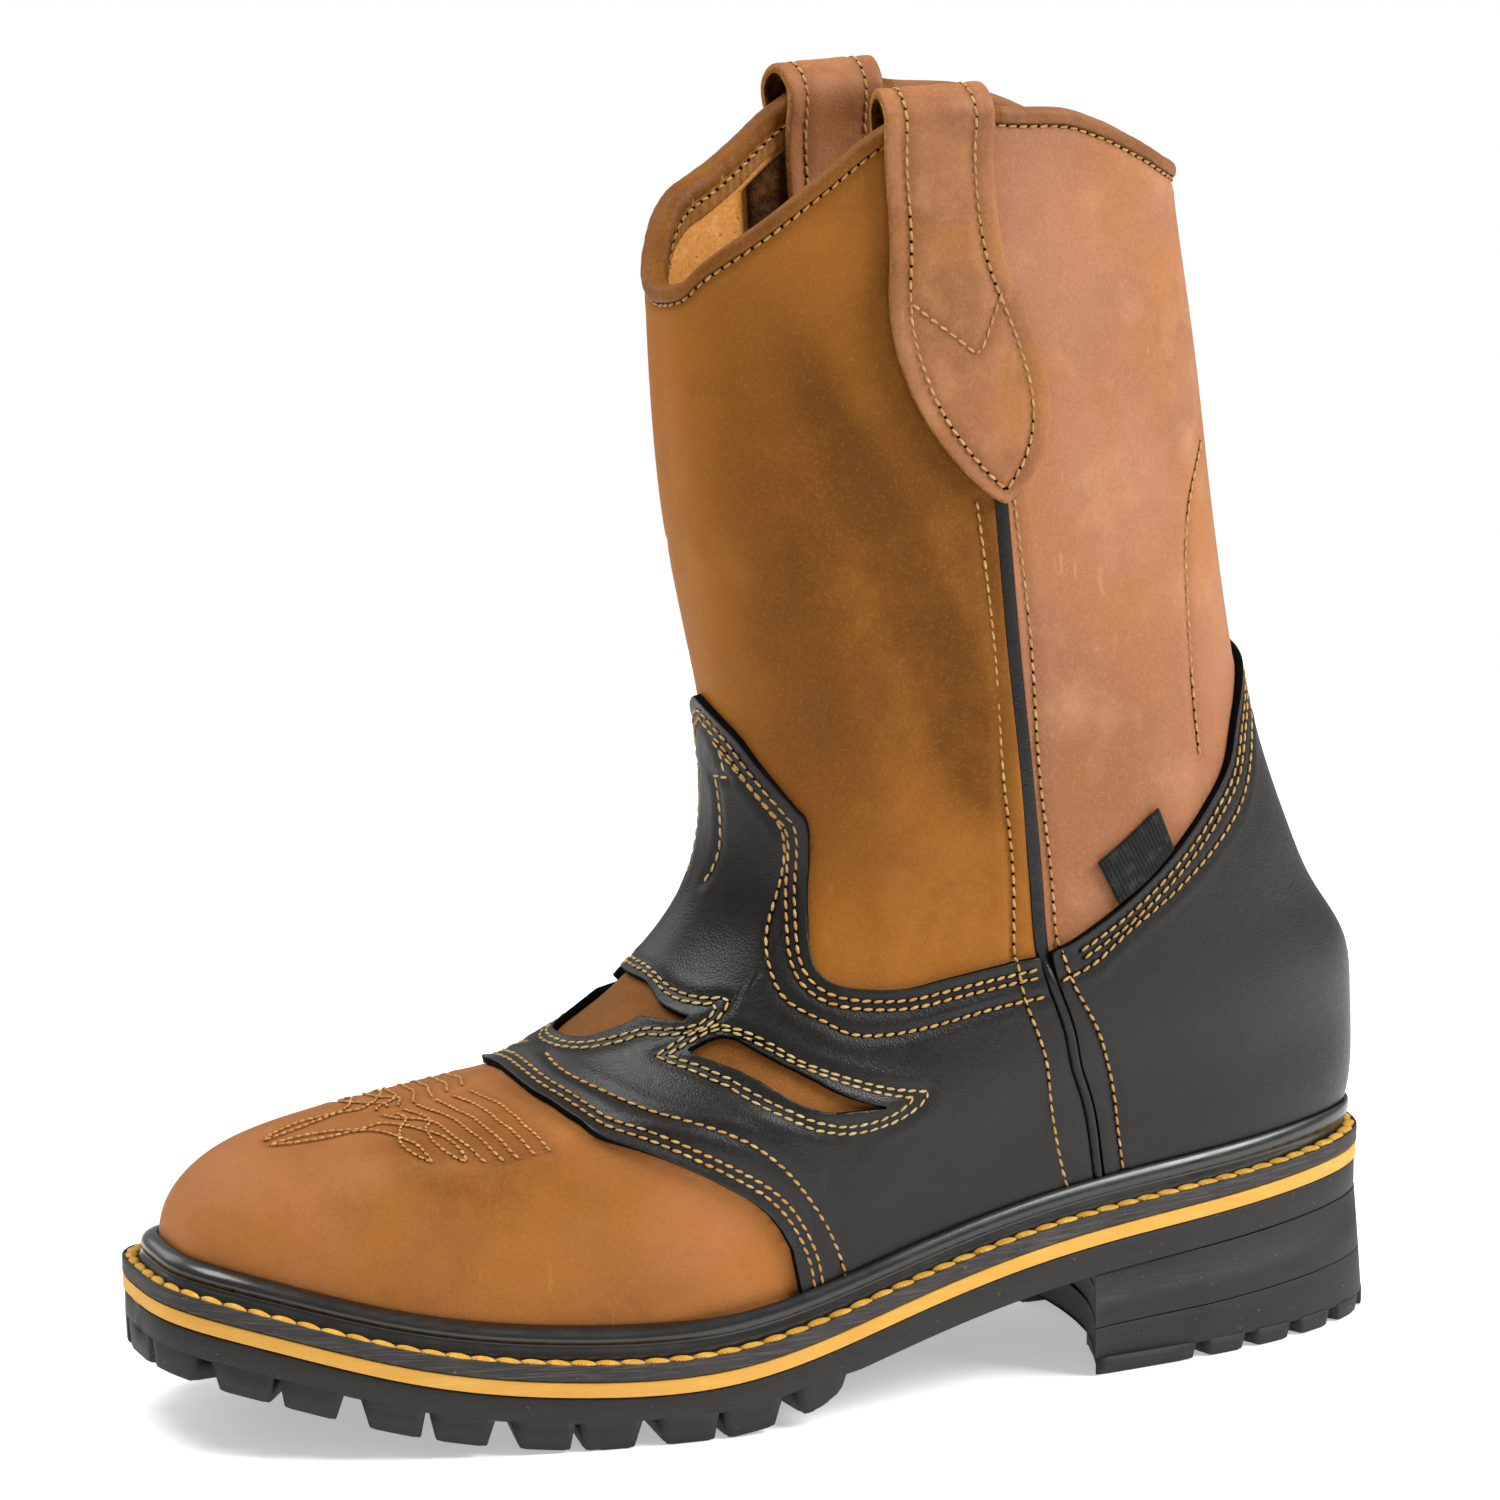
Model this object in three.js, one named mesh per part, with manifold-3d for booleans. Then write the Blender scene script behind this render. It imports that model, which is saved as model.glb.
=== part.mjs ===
// Pull-on steel toe work boot, left foot, standing on its tread.
// Frame: millimetres, +Z up, toe towards -X, outer (lateral) side towards -Y.
// Origin: on the floor under the middle of the boot.
import * as THREE from "three";
import { mergeVertices } from "three/addons/utils/BufferGeometryUtils.js";
import Module from "manifold-3d";

// Overall sizes.
const bootLength = 303; // welt edge at the toe to the heel block's rear edge
const shaftRise = 276; // feather line at the ball to the top of the shaft
const ballWidth = 91; // upper across the ball of the foot
const shaftWidth = 68; // shaft from side to side

// Sole stack, from the floor up.
const treadThick = 12.2;
const lugDepth = 6;
const waistThick = 7;
const midsoleThick = 3.4;
const weltThick = 3.7;
const weltReach = 8;
const heelLiftThick = 11;
const heelLugDepth = 3.6;
const heelFlare = 2.5;

// Leathers and linings.
const leather = 2.0;
const overlay = 1.8;
const lining = 1.0;
const capSteel = 1.9;
const strapThick = 2.0;
const strapTopWidth = 25;
const strapFootWidth = 33;
const insoleThick = 2.6;
const footbedThick = 4.5;
const shankWidth = 14;
const shankThick = 1.2;

// Clearances between pieces that touch.
const gap = 0.3;
const seamHalf = 1.9; // half of the channel between front and back panels
const pipingHalf = 1.55;
const buttGap = 1.5;

const facetTol = 0.05;
const deg = Math.PI / 180;
const wasm = await Module();
wasm.setup();

// ---------------------------------------------------------------- curves
function naturalCurve(xs, ys) {
  const n = xs.length;
  const bend = new Array(n).fill(0);
  const work = new Array(n).fill(0);
  for (let i = 1; i < n - 1; i++) {
    const share = (xs[i] - xs[i - 1]) / (xs[i + 1] - xs[i - 1]);
    const pivot = share * bend[i - 1] + 2;
    const turn = (ys[i + 1] - ys[i]) / (xs[i + 1] - xs[i]) - (ys[i] - ys[i - 1]) / (xs[i] - xs[i - 1]);
    bend[i] = (share - 1) / pivot;
    work[i] = ((6 * turn) / (xs[i + 1] - xs[i - 1]) - share * work[i - 1]) / pivot;
  }
  for (let i = n - 2; i >= 0; i--) bend[i] = bend[i] * bend[i + 1] + work[i];
  return (x) => {
    let k = 0;
    while (k < n - 2 && x > xs[k + 1]) k++;
    const h = xs[k + 1] - xs[k];
    const q = THREE.MathUtils.clamp(x, xs[0], xs[n - 1]);
    const a = (xs[k + 1] - q) / h;
    const b = (q - xs[k]) / h;
    const y = a * ys[k] + b * ys[k + 1] + (((a ** 3 - a) * bend[k] + (b ** 3 - b) * bend[k + 1]) * h * h) / 6;
    const slope = (ys[k + 1] - ys[k]) / h + ((1 - 3 * a * a) * bend[k] + (3 * b * b - 1) * bend[k + 1]) * (h / 6);
    return y + slope * (x - q);
  };
}

function throughPairs(pairs) {
  return naturalCurve(pairs.map((p) => p[0]), pairs.map((p) => p[1]));
}

function straightThrough(pairs) {
  return (x) => {
    let k = 0;
    while (k < pairs.length - 2 && x > pairs[k + 1][0]) k++;
    const t = THREE.MathUtils.clamp((x - pairs[k][0]) / (pairs[k + 1][0] - pairs[k][0]), 0, 1);
    return pairs[k][1] + t * (pairs[k + 1][1] - pairs[k][1]);
  };
}

function smooth(t) {
  const q = THREE.MathUtils.clamp(t, 0, 1);
  return q * q * (3 - 2 * q);
}

// ---------------------------------------------------------------- boot form
// Hoops up the boot: distance s along the front ridge, front point, back point, fullness.
const patternStack = 19.6;
const stack = treadThick + midsoleThick + weltThick + gap;
const scaleX = bootLength / 303;
const scaleZ = shaftRise / 276;
const scaleFoot = ballWidth / 91;
const scaleShaft = shaftWidth / 68;
const hoops = [
  [0, -141, 35, 142, 44, 0.6],
  [12, -140, 47, 145, 50, 0.6],
  [25.6, -132, 58, 147, 57, 0.64],
  [45, -114, 65, 148, 66, 0.74],
  [71.1, -88, 68, 148, 76, 0.84],
  [100, -60, 75, 146, 88, 0.9],
  [133.3, -32, 93, 136.5, 102, 0.9],
  [163.3, -14, 117, 128, 119, 0.87],
  [188.4, -12, 142, 120, 140, 0.83],
  [214.7, -16, 168, 114, 166, 0.8],
  [247.1, -21, 200, 108.5, 202, 0.77],
  [279.2, -24, 232, 104, 236, 0.75],
  [309.2, -25, 262, 99, 268, 0.74],
  [343.2, -25, 296, 95, 300, 0.74],
];
const hoopAt = [1, 2, 3, 4, 5].map((c) => throughPairs(hoops.map((row) => [row[0], row[c]])));
const lateralHalf = throughPairs([[-150, 34], [-116, 41], [-76, 45.5], [-36, 47], [-6, 45.5], [34, 41],
  [70, 38.5], [110, 36.5], [145, 31]]);
const medialHalf = throughPairs([[-150, 38], [-116, 43], [-76, 45.5], [-36, 43], [-6, 38], [34, 33],
  [70, 33], [110, 35], [145, 31]]);
const middleLine = throughPairs([[-150, 3], [-96, 3], [-36, 1], [34, 0], [145, 0]]);
const featherLine = throughPairs([[-152, 38], [-130, 33], [-100, 25], [-60, 19.6], [-26, 20], [14, 29],
  [54, 37], [100, 41], [150, 44]]);
const shaftHalf = throughPairs([[60, 38], [100, 37], [140, 38], [180, 37], [230, 34], [270, 32], [300, 31]]);

// Height of the welt's top over the floor, and of the floor side of a level sole, at a place x.
function weltTop(x) {
  return stack + (featherLine(x / scaleX) - patternStack) * scaleZ;
}

// Beside the ridge the inner side of the instep falls away faster than the outer side.
function fallAway(s, a) {
  return 1 - 0.4 * smooth((s - 30) / 45) * smooth((250 - s) / 55) * Math.exp(-(a ** 2));
}

// Point of the leather's outer face: s up the front ridge, turn in radians, + towards the outer side.
function onForm(s, turn) {
  const a = Math.abs(Math.atan2(Math.sin(turn), Math.cos(turn)));
  const side = Math.sin(turn) >= 0 ? -1 : 1;
  const [xf, zf, xk, zk, full] = hoopAt.map((f) => f(s));
  const t = (1 - Math.cos(a)) / 2;
  const x = xf + t * (xk - xf);
  const fade = THREE.MathUtils.clamp(1 - s / 70, 0, 1.2) ** 2;
  const chord = hoops[0][2] + ((x - hoops[0][1]) / (hoops[0][3] - hoops[0][1])) * (hoops[0][4] - hoops[0][2]);
  const z = zf + t * (zk - zf) + (featherLine(x) - chord) * fade;
  const up = smooth((z - 62) / 58);
  const foot = side < 0 ? lateralHalf(x) : medialHalf(x);
  const half = foot * scaleFoot * (1 - up) + shaftHalf(THREE.MathUtils.clamp(z, 60, 300)) * scaleShaft * up;
  const reach = half * Math.max(Math.sin(a), 1e-9) ** full * (side > 0 ? fallAway(s, a) : 1);
  const y = middleLine(x) * (1 - up) + side * reach;
  return new THREE.Vector3(x * scaleX, y, stack + (z - patternStack) * scaleZ);
}

function formNormal(s, turn) {
  const up = onForm(s + 0.8, turn).sub(onForm(s - 0.8, turn));
  const round = onForm(s, turn + 0.02).sub(onForm(s, turn - 0.02));
  return round.cross(up).normalize();
}

function offForm(s, turn, out) {
  return onForm(s, turn).addScaledVector(formNormal(s, turn), out);
}

// A turn moved along the hoop by a distance in mm.
function along(s, turn, mm) {
  return turn + (mm * 0.04) / onForm(s, turn + 0.02).distanceTo(onForm(s, turn - 0.02));
}

// The s at a given height over the welt's top.
function overWelt(turn, mm) {
  let low = -3;
  let high = 60;
  for (let i = 0; i < 24; i++) {
    const mid = (low + high) / 2;
    const p = onForm(mid, turn);
    if (p.z - weltTop(p.x) < mm) low = mid;
    else high = mid;
  }
  return (low + high) / 2;
}

// ---------------------------------------------------------------- solids
const finish = {
  brownLeather: { color: 0x8f5f38, roughness: 0.72, metalness: 0 },
  strapLeather: { color: 0x7d5238, roughness: 0.68, metalness: 0 },
  blackLeather: { color: 0x1d1c1d, roughness: 0.5, metalness: 0 },
  suede: { color: 0xcb9a5e, roughness: 0.95, metalness: 0 },
  blackRubber: { color: 0x232122, roughness: 0.62, metalness: 0 },
  glossRubber: { color: 0x141414, roughness: 0.3, metalness: 0 },
  weltRubber: { color: 0x3f3b3c, roughness: 0.6, metalness: 0 },
  yellowRubber: { color: 0xf0b14a, roughness: 0.6, metalness: 0 },
  thread: { color: 0xe0a33c, roughness: 0.8, metalness: 0 },
  steel: { color: 0x9da1a6, roughness: 0.35, metalness: 1 },
  board: { color: 0xb08a5c, roughness: 0.85, metalness: 0 },
  cork: { color: 0x9b6f45, roughness: 0.95, metalness: 0 },
  footFabric: { color: 0x4b4a4c, roughness: 0.95, metalness: 0 },
  labelFabric: { color: 0x1b1b1d, roughness: 0.9, metalness: 0 },
};
const group = new THREE.Group();

function toManifold(geometry) {
  const bare = geometry.clone();
  bare.deleteAttribute("normal");
  bare.deleteAttribute("uv");
  const welded = mergeVertices(bare, 1e-4);
  const mesh = new wasm.Mesh({
    numProp: 3,
    vertProperties: new Float32Array(welded.attributes.position.array),
    triVerts: new Uint32Array(welded.index.array),
  });
  const solid = new wasm.Manifold(mesh);
  if (solid.volume() > 0) return solid;
  for (let i = 0; i < mesh.triVerts.length; i += 3) {
    const swap = mesh.triVerts[i];
    mesh.triVerts[i] = mesh.triVerts[i + 1];
    mesh.triVerts[i + 1] = swap;
  }
  return new wasm.Manifold(mesh);
}

// The largest single body of a solid.
function oneBody(solid) {
  const bodies = solid.decompose();
  return bodies.reduce((a, b) => (b.volume() > a.volume() ? b : a));
}

function add(name, solid, look) {
  const { vertProperties, triVerts, numProp } = oneBody(solid.simplify(facetTol)).getMesh();
  const geometry = new THREE.BufferGeometry();
  const places = new Float32Array((vertProperties.length / numProp) * 3);
  for (let i = 0; i < places.length / 3; i++) {
    for (let k = 0; k < 3; k++) places[3 * i + k] = vertProperties[numProp * i + k];
  }
  geometry.setAttribute("position", new THREE.BufferAttribute(places, 3));
  geometry.setIndex([...triVerts]);
  geometry.computeVertexNormals();
  const mesh = new THREE.Mesh(geometry, new THREE.MeshStandardMaterial(look));
  mesh.name = name;
  group.add(mesh);
}

// A box bent to a shape: place(u, v, w) gives the point for three numbers from 0 to 1.
function bentBox(columns, rows, place) {
  const box = new THREE.BoxGeometry(1, 1, 1, columns, rows, 1);
  const spot = box.attributes.position;
  for (let i = 0; i < spot.count; i++) {
    const p = place(spot.getX(i) + 0.5, spot.getY(i) + 0.5, spot.getZ(i) + 0.5);
    spot.setXYZ(i, p.x, p.y, p.z);
  }
  return toManifold(box);
}

// A closed ring: place(k, i) gives point k of the section at step i of the way round.
// From section row turnedFrom on, the quads are split along their other diagonal.
function bentRing(corners, steps, place, turnedFrom = corners) {
  const ring = new THREE.TorusGeometry(10, 3, corners, steps);
  const corner = ring.index;
  for (let quad = turnedFrom * steps; quad < corners * steps; quad++) {
    corner.setX(6 * quad + 2, corner.getX(6 * quad + 4));
    corner.setX(6 * quad + 3, corner.getX(6 * quad));
  }
  const spot = ring.attributes.position;
  const uv = ring.attributes.uv;
  for (let i = 0; i < spot.count; i++) {
    const step = Math.round(uv.getX(i) * steps) % steps;
    const p = place(Math.round(uv.getY(i) * corners) % corners, step);
    spot.setXYZ(i, p.x, p.y, p.z);
  }
  return toManifold(ring);
}

// Turns shared by every layer, so the layers' facets lie parallel.
const quarterTurns = [0, 6, 13, 21, 31, 42, 54, 67, 81, 95, 109, 123, 137, 149, 160, 170, 180];
const turns = [...quarterTurns, ...quarterTurns.slice(1, -1).reverse().map((q) => -q)].map((q) => q * deg);
const lowRows = [-4, 4, 12, 22, 34, 50, 69, 88, 107, 125, 141, 157, 178, 206, 238, 270];

// Height s of the top line round the shaft: low at the front, high at the sides.
const topLinePairs = [[0, 296.6], [21, 303], [41, 312], [57, 321.6], [71, 331], [84, 336.5], [101, 333.4],
  [114, 331.9], [125, 328], [137, 322.6], [155, 316], [180, 312]];
const topLineCurve = straightThrough(topLinePairs);
function topLine(turn) {
  return topLineCurve(Math.abs(Math.atan2(Math.sin(turn), Math.cos(turn))) / deg);
}

// A sleeve round the whole form between two offsets, which may change from place to place.
function sleeve(inner, outer, drop) {
  const rows = lowRows.length + 2;
  return bentRing(rows * 2, turns.length, (k, i) => {
    const row = k < rows ? k : 2 * rows - 1 - k;
    const end = topLine(turns[i]) - drop;
    const s = row < lowRows.length ? lowRows[row] : 270 + ((row - lowRows.length + 1) / 2) * (end - 270);
    const p = onForm(s, turns[i]);
    return offForm(s, turns[i], k < rows ? outer(p, turns[i]) : inner(p, turns[i]));
  }, rows);
}

// A cutter standing on the form over a patch: turn from(s) to to(s), s from low(turn) to high(turn).
function curtain(from, to, low, high, columns, rows, near = -3.2, far = 1.2) {
  return bentBox(columns, rows, (u, v, w) => {
    let s = 100;
    let turn = from(s) + u * (to(s) - from(s));
    for (let i = 0; i < 8; i++) {
      s = low(turn) + v * (high(turn) - low(turn));
      turn = from(s) + u * (to(s) - from(s));
    }
    return offForm(s, turn, near + w * (far - near));
  });
}

// Plan outline of the foot at the feather line, moved outwards by reach.
const soleTurns = [0.3, 4, 9, 15, 22, 30, 38, 46, 54, 61, 67, 73, 79, 86, 94, 103, 112, 122, 132, 141, 150, 158,
  165, 172, 176, 179.7].map((q) => q * deg);
const soleLoop = [...soleTurns, ...soleTurns.map((a) => -a).reverse()];
function outline(turn, reach) {
  const p = onForm(0, turn);
  const next = onForm(0, turn + 0.02);
  const last = onForm(0, turn - 0.02);
  const out = new THREE.Vector2(next.y - last.y, last.x - next.x).normalize();
  return new THREE.Vector2(p.x + out.x * reach, p.y + out.y * reach);
}

// A flat-bedded plate inside the outline; reach(turn), and top and bottom heights by x.
function plate(reach, bottom, top) {
  const columns = soleTurns.length - 1;
  return bentBox(columns, 1, (u, v, w) => {
    const turn = soleTurns[Math.round(u * columns)] * (v < 0.5 ? 1 : -1);
    const p = outline(turn, reach(turn));
    const from = bottom(p.x);
    return new THREE.Vector3(p.x, p.y, from + w * (top(p.x) - from));
  });
}

// ---------------------------------------------------------------- pattern lines
const seamTurn = throughPairs([[0, 119], [25, 115], [61, 107.5], [110, 96.5], [141, 89.3], [170, 85.2],
  [192, 85.8], [213, 87.2], [247, 89.6], [300, 90.5], [345, 90.5]]);
const seam = (s) => seamTurn(s) * deg;
const atDegrees = (pairs) => {
  const curve = straightThrough(pairs);
  return (turn) => curve(Math.abs(Math.atan2(Math.sin(turn), Math.cos(turn))) / deg);
};
const overlayTop = atDegrees([[0, 204], [10, 195], [22, 187], [32, 180.5], [36, 178.5], [38.5, 166], [41.5, 155],
  [46, 145.5], [52, 138], [60, 132], [68, 130.5], [75, 132.5], [89, 135.5], [100, 136]]);
const overlayFront = atDegrees([[0, 97.5], [6, 96.7], [26, 87.9], [40, 74.6], [53, 56], [60, 48.6], [68, 39.3],
  [74, 31.9], [79, 25], [83, 16.7], [85.5, 7], [86.5, -6]]);
const counterTop = atDegrees([[88, 135], [92.5, 137.5], [100, 146], [108.7, 157], [118, 167.4], [127, 176],
  [137, 184.6], [147, 196], [160, 205], [180, 210]]);
const frontJoin = atDegrees([[0, 190], [20, 170], [30, 151], [40, 134], [50, 125], [60, 120.5], [75, 121], [95, 124]]);
const backJoin = atDegrees([[80, 122], [95, 127], [110, 144], [125, 161], [140, 174], [160, 190], [180, 195]]);
const seamEdge = (half) => (s) => along(s, seam(s), half);
const frontFrom = (s) => -seamEdge(-seamHalf)(s);
const frontTo = seamEdge(-seamHalf);
const backFrom = seamEdge(seamHalf);
const backTo = (s) => 2 * Math.PI - seamEdge(seamHalf)(s);
const level = (s) => () => s;
const overTop = (turn) => topLine(turn) + 14;

// ---------------------------------------------------------------- upper
const belowUpper = plate(() => 30, () => -60, (x) => weltTop(x) + gap);
const trim = (solid) => solid.subtract(belowUpper);

const leatherSleeve = trim(sleeve(() => -leather, () => 0, gap));
const overlaySleeve = trim(sleeve(() => gap, () => gap + overlay, gap));

const capRear = -84;
const underCap = (p) => (capSteel + gap) * (1 - smooth((p.x / scaleX - capRear - 12) / 13));
const liningTop = leather + gap;
const liningSleeve = trim(sleeve(
  (p) => -liningTop - lining - underCap(p),
  (p) => -liningTop - underCap(p),
  gap,
));

const wholeFront = (low, high, near, far) => curtain(frontFrom, frontTo, low, high, 22, 14, near, far);
const wholeBack = (low, high, near, far) => curtain(backFrom, backTo, low, high, 18, 14, near, far);

add("toe_vamp", leatherSleeve.intersect(
  wholeFront(level(-6), (t) => frontJoin(t) - buttGap)), finish.brownLeather);
add("shaft_front", leatherSleeve.intersect(wholeFront(frontJoin, overTop)), finish.brownLeather);
add("heel_counter", leatherSleeve.intersect(
  wholeBack(level(-6), (t) => backJoin(t) - buttGap)), finish.board);
add("shaft_back", leatherSleeve.intersect(wholeBack(backJoin, overTop)), finish.brownLeather);

// Windows in the vamp overlay: one over the instep, one long leaf on each side.
const centreWindow = curtain(
  level(-30 * deg), level(30 * deg),
  atDegrees([[0, 114], [9, 114.9], [14, 116.4], [18, 119.8], [26, 123], [30, 123.6]]),
  atDegrees([[0, 132], [6, 133.6], [12, 133], [18, 129.6], [26, 125.8], [30, 124.8]]), 12, 2, -1, 4);
const leafLow = atDegrees([[36.4, 112], [42, 110.5], [49, 104.6], [59, 92.3], [70, 73.6], [78, 59.8], [84.6, 58.6]]);
const leafHigh = atDegrees([[36.4, 113.5], [38, 117], [40.3, 119.3], [46.7, 116], [54.3, 109], [63, 97.7],
  [72.2, 82.5], [79.8, 68.7], [84.6, 60.4]]);
const leaf = (side) => curtain(
  level(side * 36.4 * deg), level(side * 84.6 * deg), leafLow, leafHigh, 10, 2, -1, 4);
add("vamp_overlay", overlaySleeve
  .intersect(wholeFront(overlayFront, overlayTop, -0.8, 3.2))
  .subtract(centreWindow).subtract(leaf(1)).subtract(leaf(-1)), finish.blackLeather);
add("heel_overlay", overlaySleeve.intersect(wholeBack(level(-6), counterTop, -0.8, 3.2)), finish.blackLeather);

// Linings: foot front, heel, and a sleeve up the shaft.
const liningFrom = (s) => -seam(s) + 0.004;
const liningTo = (s) => seam(s) - 0.004;
const liningBackFrom = (s) => seam(s) + 0.004;
const liningBackTo = (s) => 2 * Math.PI - seam(s) - 0.004;
add("vamp_lining", liningSleeve.intersect(
  curtain(liningFrom, liningTo, level(-6), level(149), 28, 14, -6.5, -1)), finish.suede);
add("heel_lining", liningSleeve.intersect(
  curtain(liningBackFrom, liningBackTo, level(-6), level(149), 24, 14, -5, -1)), finish.suede);
const shaftFloor = bentRing(4, turns.length, (k, i) => offForm(
  k < 2 ? -6 : 150.2, turns[i], k === 0 || k === 3 ? -12 : 6));
add("shaft_lining", liningSleeve.subtract(shaftFloor), finish.suede);

// Steel cap over the toes, between the vamp and its lining.
const capSolid = trim(sleeve(() => -liningTop - capSteel, () => -liningTop, gap));
const capBack = new THREE.BoxGeometry(400, 400, 400);
capBack.translate(capRear * scaleX - 2.5 + 200, 0, 100);
const capTop = new THREE.BoxGeometry(400, 400, 400);
capTop.translate(0, 0, stack + (95 - patternStack) * scaleZ + 200);
add("steel_toe_cap", capSolid.subtract(toManifold(capBack)).subtract(toManifold(capTop)), finish.steel);

// Piping in the side seams.
function piping(side) {
  const start = overWelt(side * seam(4), 8.2);
  return bentBox(2, 22, (u, v, w) => {
    const s = start + v * (328 - start);
    const turn = side * along(s, seam(s), (u * 2 - 1) * pipingHalf);
    const proud = 0.8 + 1.6 * (1 - smooth((s - 122) / 14));
    const crown = 1 - 0.35 * Math.abs(2 * u - 1);
    return offForm(s, turn, w < 0.5 ? -leather + 0.5 : proud * crown);
  });
}
add("side_piping_lateral", piping(1), finish.blackLeather);
add("side_piping_medial", piping(-1), finish.blackLeather);

// Folded leather binding over the top edge.
const bindFoot = 5;
const bindSection = [[-bindFoot, gap], [-bindFoot, gap + 0.8], [0.2, gap + 0.9], [1.4, -0.6], [1.4, -2.8],
  [0.2, -liningTop - lining - 1.1], [-bindFoot, -liningTop - lining - 1.1], [-bindFoot, -liningTop - lining - gap],
  [0.1, -liningTop - lining - gap], [0.1, gap]];
add("top_binding", bentRing(bindSection.length, turns.length, (k, i) => offForm(
  topLine(turns[i]) + bindSection[k][0], turns[i], bindSection[k][1])), finish.brownLeather);

// Leather facing inside, just under the binding.
const facingTop = -liningTop - lining - gap;
const facingFoot = 12;
add("top_facing", bentRing(4, turns.length, (k, i) => {
  const fold = i % 2 ? 0.25 : 0;
  const s = topLine(turns[i]) - (k < 2 ? facingFoot : bindFoot + 0.5);
  return offForm(s, turns[i], k === 0 || k === 3 ? facingTop : facingTop - 0.8 - fold);
}), finish.strapLeather);

// Pull straps: pointed foot stitched outside, loop over the edge, tail stitched inside.
const strapTail = facingTop - 2.2 - strapThick / 2;
const strapLine = throughPairs([[0, 249], [30, 278], [60, 308], [82, 329], [92, 337], [97.5, 340.2], [103, 337],
  [113, 328], [133, 308]]);
const strapOut = throughPairs([[0, 2.3], [30, 2.3], [60, 2.4], [82, 3.2], [92, 3.4], [97.5, -1.8], [103, -7],
  [113, strapTail - 0.1], [133, strapTail]]);
const strapWide = straightThrough([[0, 0.8], [6, 6.5], [14, 12], [24, 15.8], [34, strapFootWidth / 2],
  [44, strapFootWidth / 2 - 1], [56, strapTopWidth / 2 + 0.6], [66, strapTopWidth / 2], [133, strapTopWidth / 2]]);
const strapSteps = [0, 3, 8, 14, 22, 32, 44, 56, 66, 76, 84, 90, 93.5, 95.7, 97.5, 99.3, 101.5, 105, 110, 116, 124, 133];
function strapMiddle(d, side) {
  const s = strapLine(d);
  return { s, turn: side * along(s, seam(s), -8 * smooth((d - 4) / 50)) };
}
function strap(side) {
  const columns = strapSteps.length - 1;
  return bentBox(columns, 4, (u, v, w) => {
    const d = strapSteps[Math.round(u * columns)];
    const reach = (2 * v - 1) * strapWide(d);
    const spot = (q) => {
      const { s, turn } = strapMiddle(q, side);
      return offForm(s, side * along(s, side * turn, reach), strapOut(q));
    };
    const way = spot(Math.min(d + 0.6, 133)).sub(spot(Math.max(d - 0.6, 0))).normalize();
    const { s, turn } = strapMiddle(d, side);
    const across = onForm(s, turn + 0.02).sub(onForm(s, turn - 0.02)).normalize();
    const out = across.cross(way).normalize();
    return spot(d).addScaledVector(out, (w - 0.5) * strapThick);
  });
}
add("pull_strap_lateral", strap(1), finish.strapLeather);
add("pull_strap_medial", strap(-1), finish.strapLeather);

// Heel stay inside the shaft, from the counter up the back.
add("back_stay", bentBox(10, 8, (u, v, w) => {
  const half = (26 + 20 * (1 - v)) * deg;
  const turn = Math.PI + (2 * u - 1) * half;
  return offForm(152 + v * 104, turn, facingTop - gap - w * 1.0);
}), finish.suede);

// Woven tab at the seam of the counter, plain.
const tabCorners = [[97.5, 165], [112.5, 177], [115.5, 167.5], [103.5, 153.5]];
add("label_tab", bentBox(3, 3, (u, v, w) => {
  const mix = (c) => (1 - v) * ((1 - u) * tabCorners[3][c] + u * tabCorners[2][c])
    + v * ((1 - u) * tabCorners[0][c] + u * tabCorners[1][c]);
  return offForm(mix(1), mix(0) * deg, 0.45 + w * 0.9);
}), finish.labelFabric);

// ---------------------------------------------------------------- welt, rand and sole
const byTurn = (pairs) => atDegrees(pairs);
const innerReach = byTurn([[0, -7.6], [56, -7.6], [76, -4.9], [180, -4.9]]);
const weltInner = -3;
const weltShape = byTurn([[0, 1], [45, 1.12], [70, 1.08], [95, 0.96], [130, 0.94], [180, 1]]);
const weltEdge = (turn) => weltReach * weltShape(turn);
add("welt", bentRing(4, soleLoop.length, (k, i) => {
  const p = outline(soleLoop[i], k === 0 || k === 3 ? weltInner : weltEdge(soleLoop[i]));
  return new THREE.Vector3(p.x, p.y, weltTop(p.x) - (k < 2 ? weltThick : 0));
}), finish.weltRubber);

const randFoot = byTurn([[0, 0.4], [70, 0.4], [80, overlay + 3 * gap], [180, overlay + 3 * gap]]);
const randOuter = byTurn([[0, 4.6], [135, 4.6], [165, 4], [180, 4]]);
const randSection = [[-2, 0], [-2, 1], [3, 0.98], [5.5, 0.75], [6.8, 0.35], [7, 0]];
add("storm_rand", trim(bentRing(randSection.length, soleLoop.length, (k, i) => {
  const s = overWelt(soleLoop[i], randSection[k][0]);
  const foot = randFoot(soleLoop[i]);
  return offForm(s, soleLoop[i], foot + randSection[k][1] * (randOuter(soleLoop[i]) - foot));
})), finish.glossRubber);

const stitchSteps = 120;
const stitchSection = [[-0.8, 0], [-0.5, 0.9], [0.5, 0.9], [0.8, 0]];
add("welt_stitching", bentRing(4, stitchSteps, (k, i) => {
  const half = (i / stitchSteps) * 2 * Math.PI;
  const turn = half - 0.28 * Math.sin(2 * half);
  const swell = i % 2 ? 1 : 0.55;
  const p = outline(turn, weltEdge(turn) - 1.5 + stitchSection[k][0] * swell);
  return new THREE.Vector3(p.x, p.y, weltTop(p.x) + 1.5 * gap + stitchSection[k][1] * swell);
}), finish.thread);

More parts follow.
